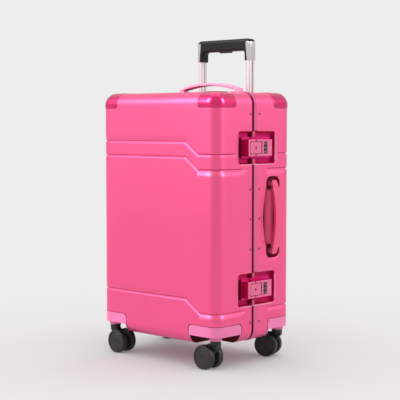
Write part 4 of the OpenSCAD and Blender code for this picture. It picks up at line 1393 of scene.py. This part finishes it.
def make_divider():
    """The zipped fabric panel over the lid's side: the cloth itself, the zip that lets it open,
    and a flat mesh pocket sewn on it."""
    rows, columns = 84, 56
    verts, faces = [], []
    for i in range(rows + 1):
        t = i / rows
        z = PANEL_LOW + (PANEL_HIGH - PANEL_LOW) * (t - 0.035 * math.sin(4 * math.pi * t) / 2)
        left, right = panel_edges(z)
        for k in range(columns + 1):
            x = left + (right - left) * k / columns
            rim = min(x - left, right - x, z - PANEL_LOW, PANEL_HIGH - z)
            spot = Vector((x * 0.013, 3.3, z * 0.013))
            soft = noise.noise(spot) * 0.7 + noise.noise(spot * 3) * 0.25
            sag = 0.5 * math.sin(math.pi * min(1, rim / 60) / 2)
            verts.append((x, PANEL_Y + soft * smooth(rim / 22) - sag * 0.4, z))
    for i in range(rows):
        for a in range(i * (columns + 1), i * (columns + 1) + columns):
            faces.append([a, a + columns + 1, a + columns + 2, a + 1])
    cloth = new_piece("divider_cloth", verts, faces, "divider")
    place(settle(modified(cloth, "SOLIDIFY", thickness=0.8 * MM, offset=0), 60), "divider_panel")

    face_y = PANEL_Y + 1.2
    right_side = [(panel_edges(z, ZIP_INSET)[1], face_y, z)
                  for z in [PANEL_LOW + ZIP_INSET + 1 + 4 * i for i in range(119)]]
    low_z, high_z = PANEL_LOW + ZIP_INSET, PANEL_HIGH - ZIP_INSET
    bottom = [(x, face_y, low_z) for x in range(-140, 140, 10)]
    top = [(x, face_y, high_z) for x in range(130, -140, -10)]
    line = [Vector(p) for p in bottom + right_side + top]
    place(zip_on(line, "divider_zip"), body="front_half")

    pocket = prism(rounded_outline(-122, 108, 118, 322, 14), "y", PANEL_Y - 0.2, PANEL_Y + 1.1,
                   "pocket", "mesh_pocket")
    place(bevel_now(pocket, 0.5), body="front_half")
    edge = [(-118, 0, 300), (-118, 0, 122), (104, 0, 122), (104, 0, 300)]
    place(stitches(edge, "pocket_stitches", PANEL_Y + 1.1), body="front_half")
    mouth = [Vector((x, PANEL_Y + 1.5, 306)) for x in range(102, -118, -8)]
    place(zip_on(mouth, "pocket_zip"), body="front_half")


STRAP_W, TAB_W, STRAP_THICK = 17, 19, 1.2
STRAP_FEET, BUCKLE_X, BUCKLE_Z = 130, 27, 10    # the straps' ends, from the case's middle


def make_straps():
    """Four webbing straps from the walls to the buckle, each with its end sewn to a tab."""
    low, high, (_, mid_y, _) = box_mm("packing_straps")
    straps = []
    for s in (-1, 1):
        for t in (-1, 1):
            wall = Vector(((low if s < 0 else high)[0] - s * 1.5, mid_y, MID_Z + t * STRAP_FEET))
            knot = Vector((s * BUCKLE_X, mid_y, MID_Z + t * BUCKLE_Z))
            path = [wall.lerp(knot, i / 24)
                    + Vector((0, 2.0, -2.5)) * math.sin(math.pi * i / 24) for i in range(25)]
            straps.append(ribbon("strap", path, STRAP_W, STRAP_THICK, "strap"))
            tab = [wall.lerp(knot, f) + Vector((0, 1.1, 0)) for f in (0.0, 0.05, 0.1, 0.15)]
            straps.append(ribbon("tab", tab, TAB_W, 1.0, "strap"))
            stitch = [p + Vector((0, -1.7, 0)) for p in path[:6]]
            straps.append(stitches(stitch, "thread", stitch[0].y))
    webbing = place(settle(join(straps, "packing_webbing"), 40), "packing_straps")


def make_buckle():
    """The buckle: a rounded case with a raised release pad and two ribs at each side."""
    low, high, (_, _, mid_z) = box_mm("strap_buckle")
    case = prism(rounded_outline(low[0], high[0], low[2], high[2], 9), "y", low[1] + 0.8,
                 high[1], "black", "case")
    parts = [bevel_now(case, 1.4, 3)]
    pad = block("pad", "y", (0, mid_z), (13, 9), (low[1], low[1] + 2), 8, "hub")
    parts.append(bevel_now(pad, 0.7, 2))
    for x in (-21, -17.5, 17.5, 21):
        rib = block("rib", "y", (x, mid_z), (0.9, 11), (low[1] + 0.2, low[1] + 2), 0.8, "hub")
        parts.append(bevel_now(rib, 0.3, 1))
    place(settle(join(parts, "buckle_case"), 34), "strap_buckle")


def make_piping():
    """A round cord of cloth along the edge of each lining."""
    for side, y, body in (("back", BACK_EDGE + 2.6, "back_half"),
                          ("front", FRONT_EDGE - 2.6, "front_half")):
        ring = [(-2 * WALL - 3.4 + 1.1 * math.cos(a), y + 1.1 * math.sin(a))
                for a in [math.radians(45 * k) for k in range(8)]]
        place(case_loop(side + "_piping", ring, "piping", [(112, 491)]), body=body)


# ------------------------------------------------------------------ build
make_camera()
stage_floor, softboxes = make_stage()
for half in ("front", "back"):
    make_shell(half)
    make_guards(half)
    make_housings(half)
plain_hardware()
make_seal()
make_latches()
make_grip()
make_posts()
make_carry_handles()
for half in ("front", "back"):
    make_lining(half)
make_divider()
make_buckle()
make_straps()
make_piping()
light_only_the_case(stage_floor, softboxes)
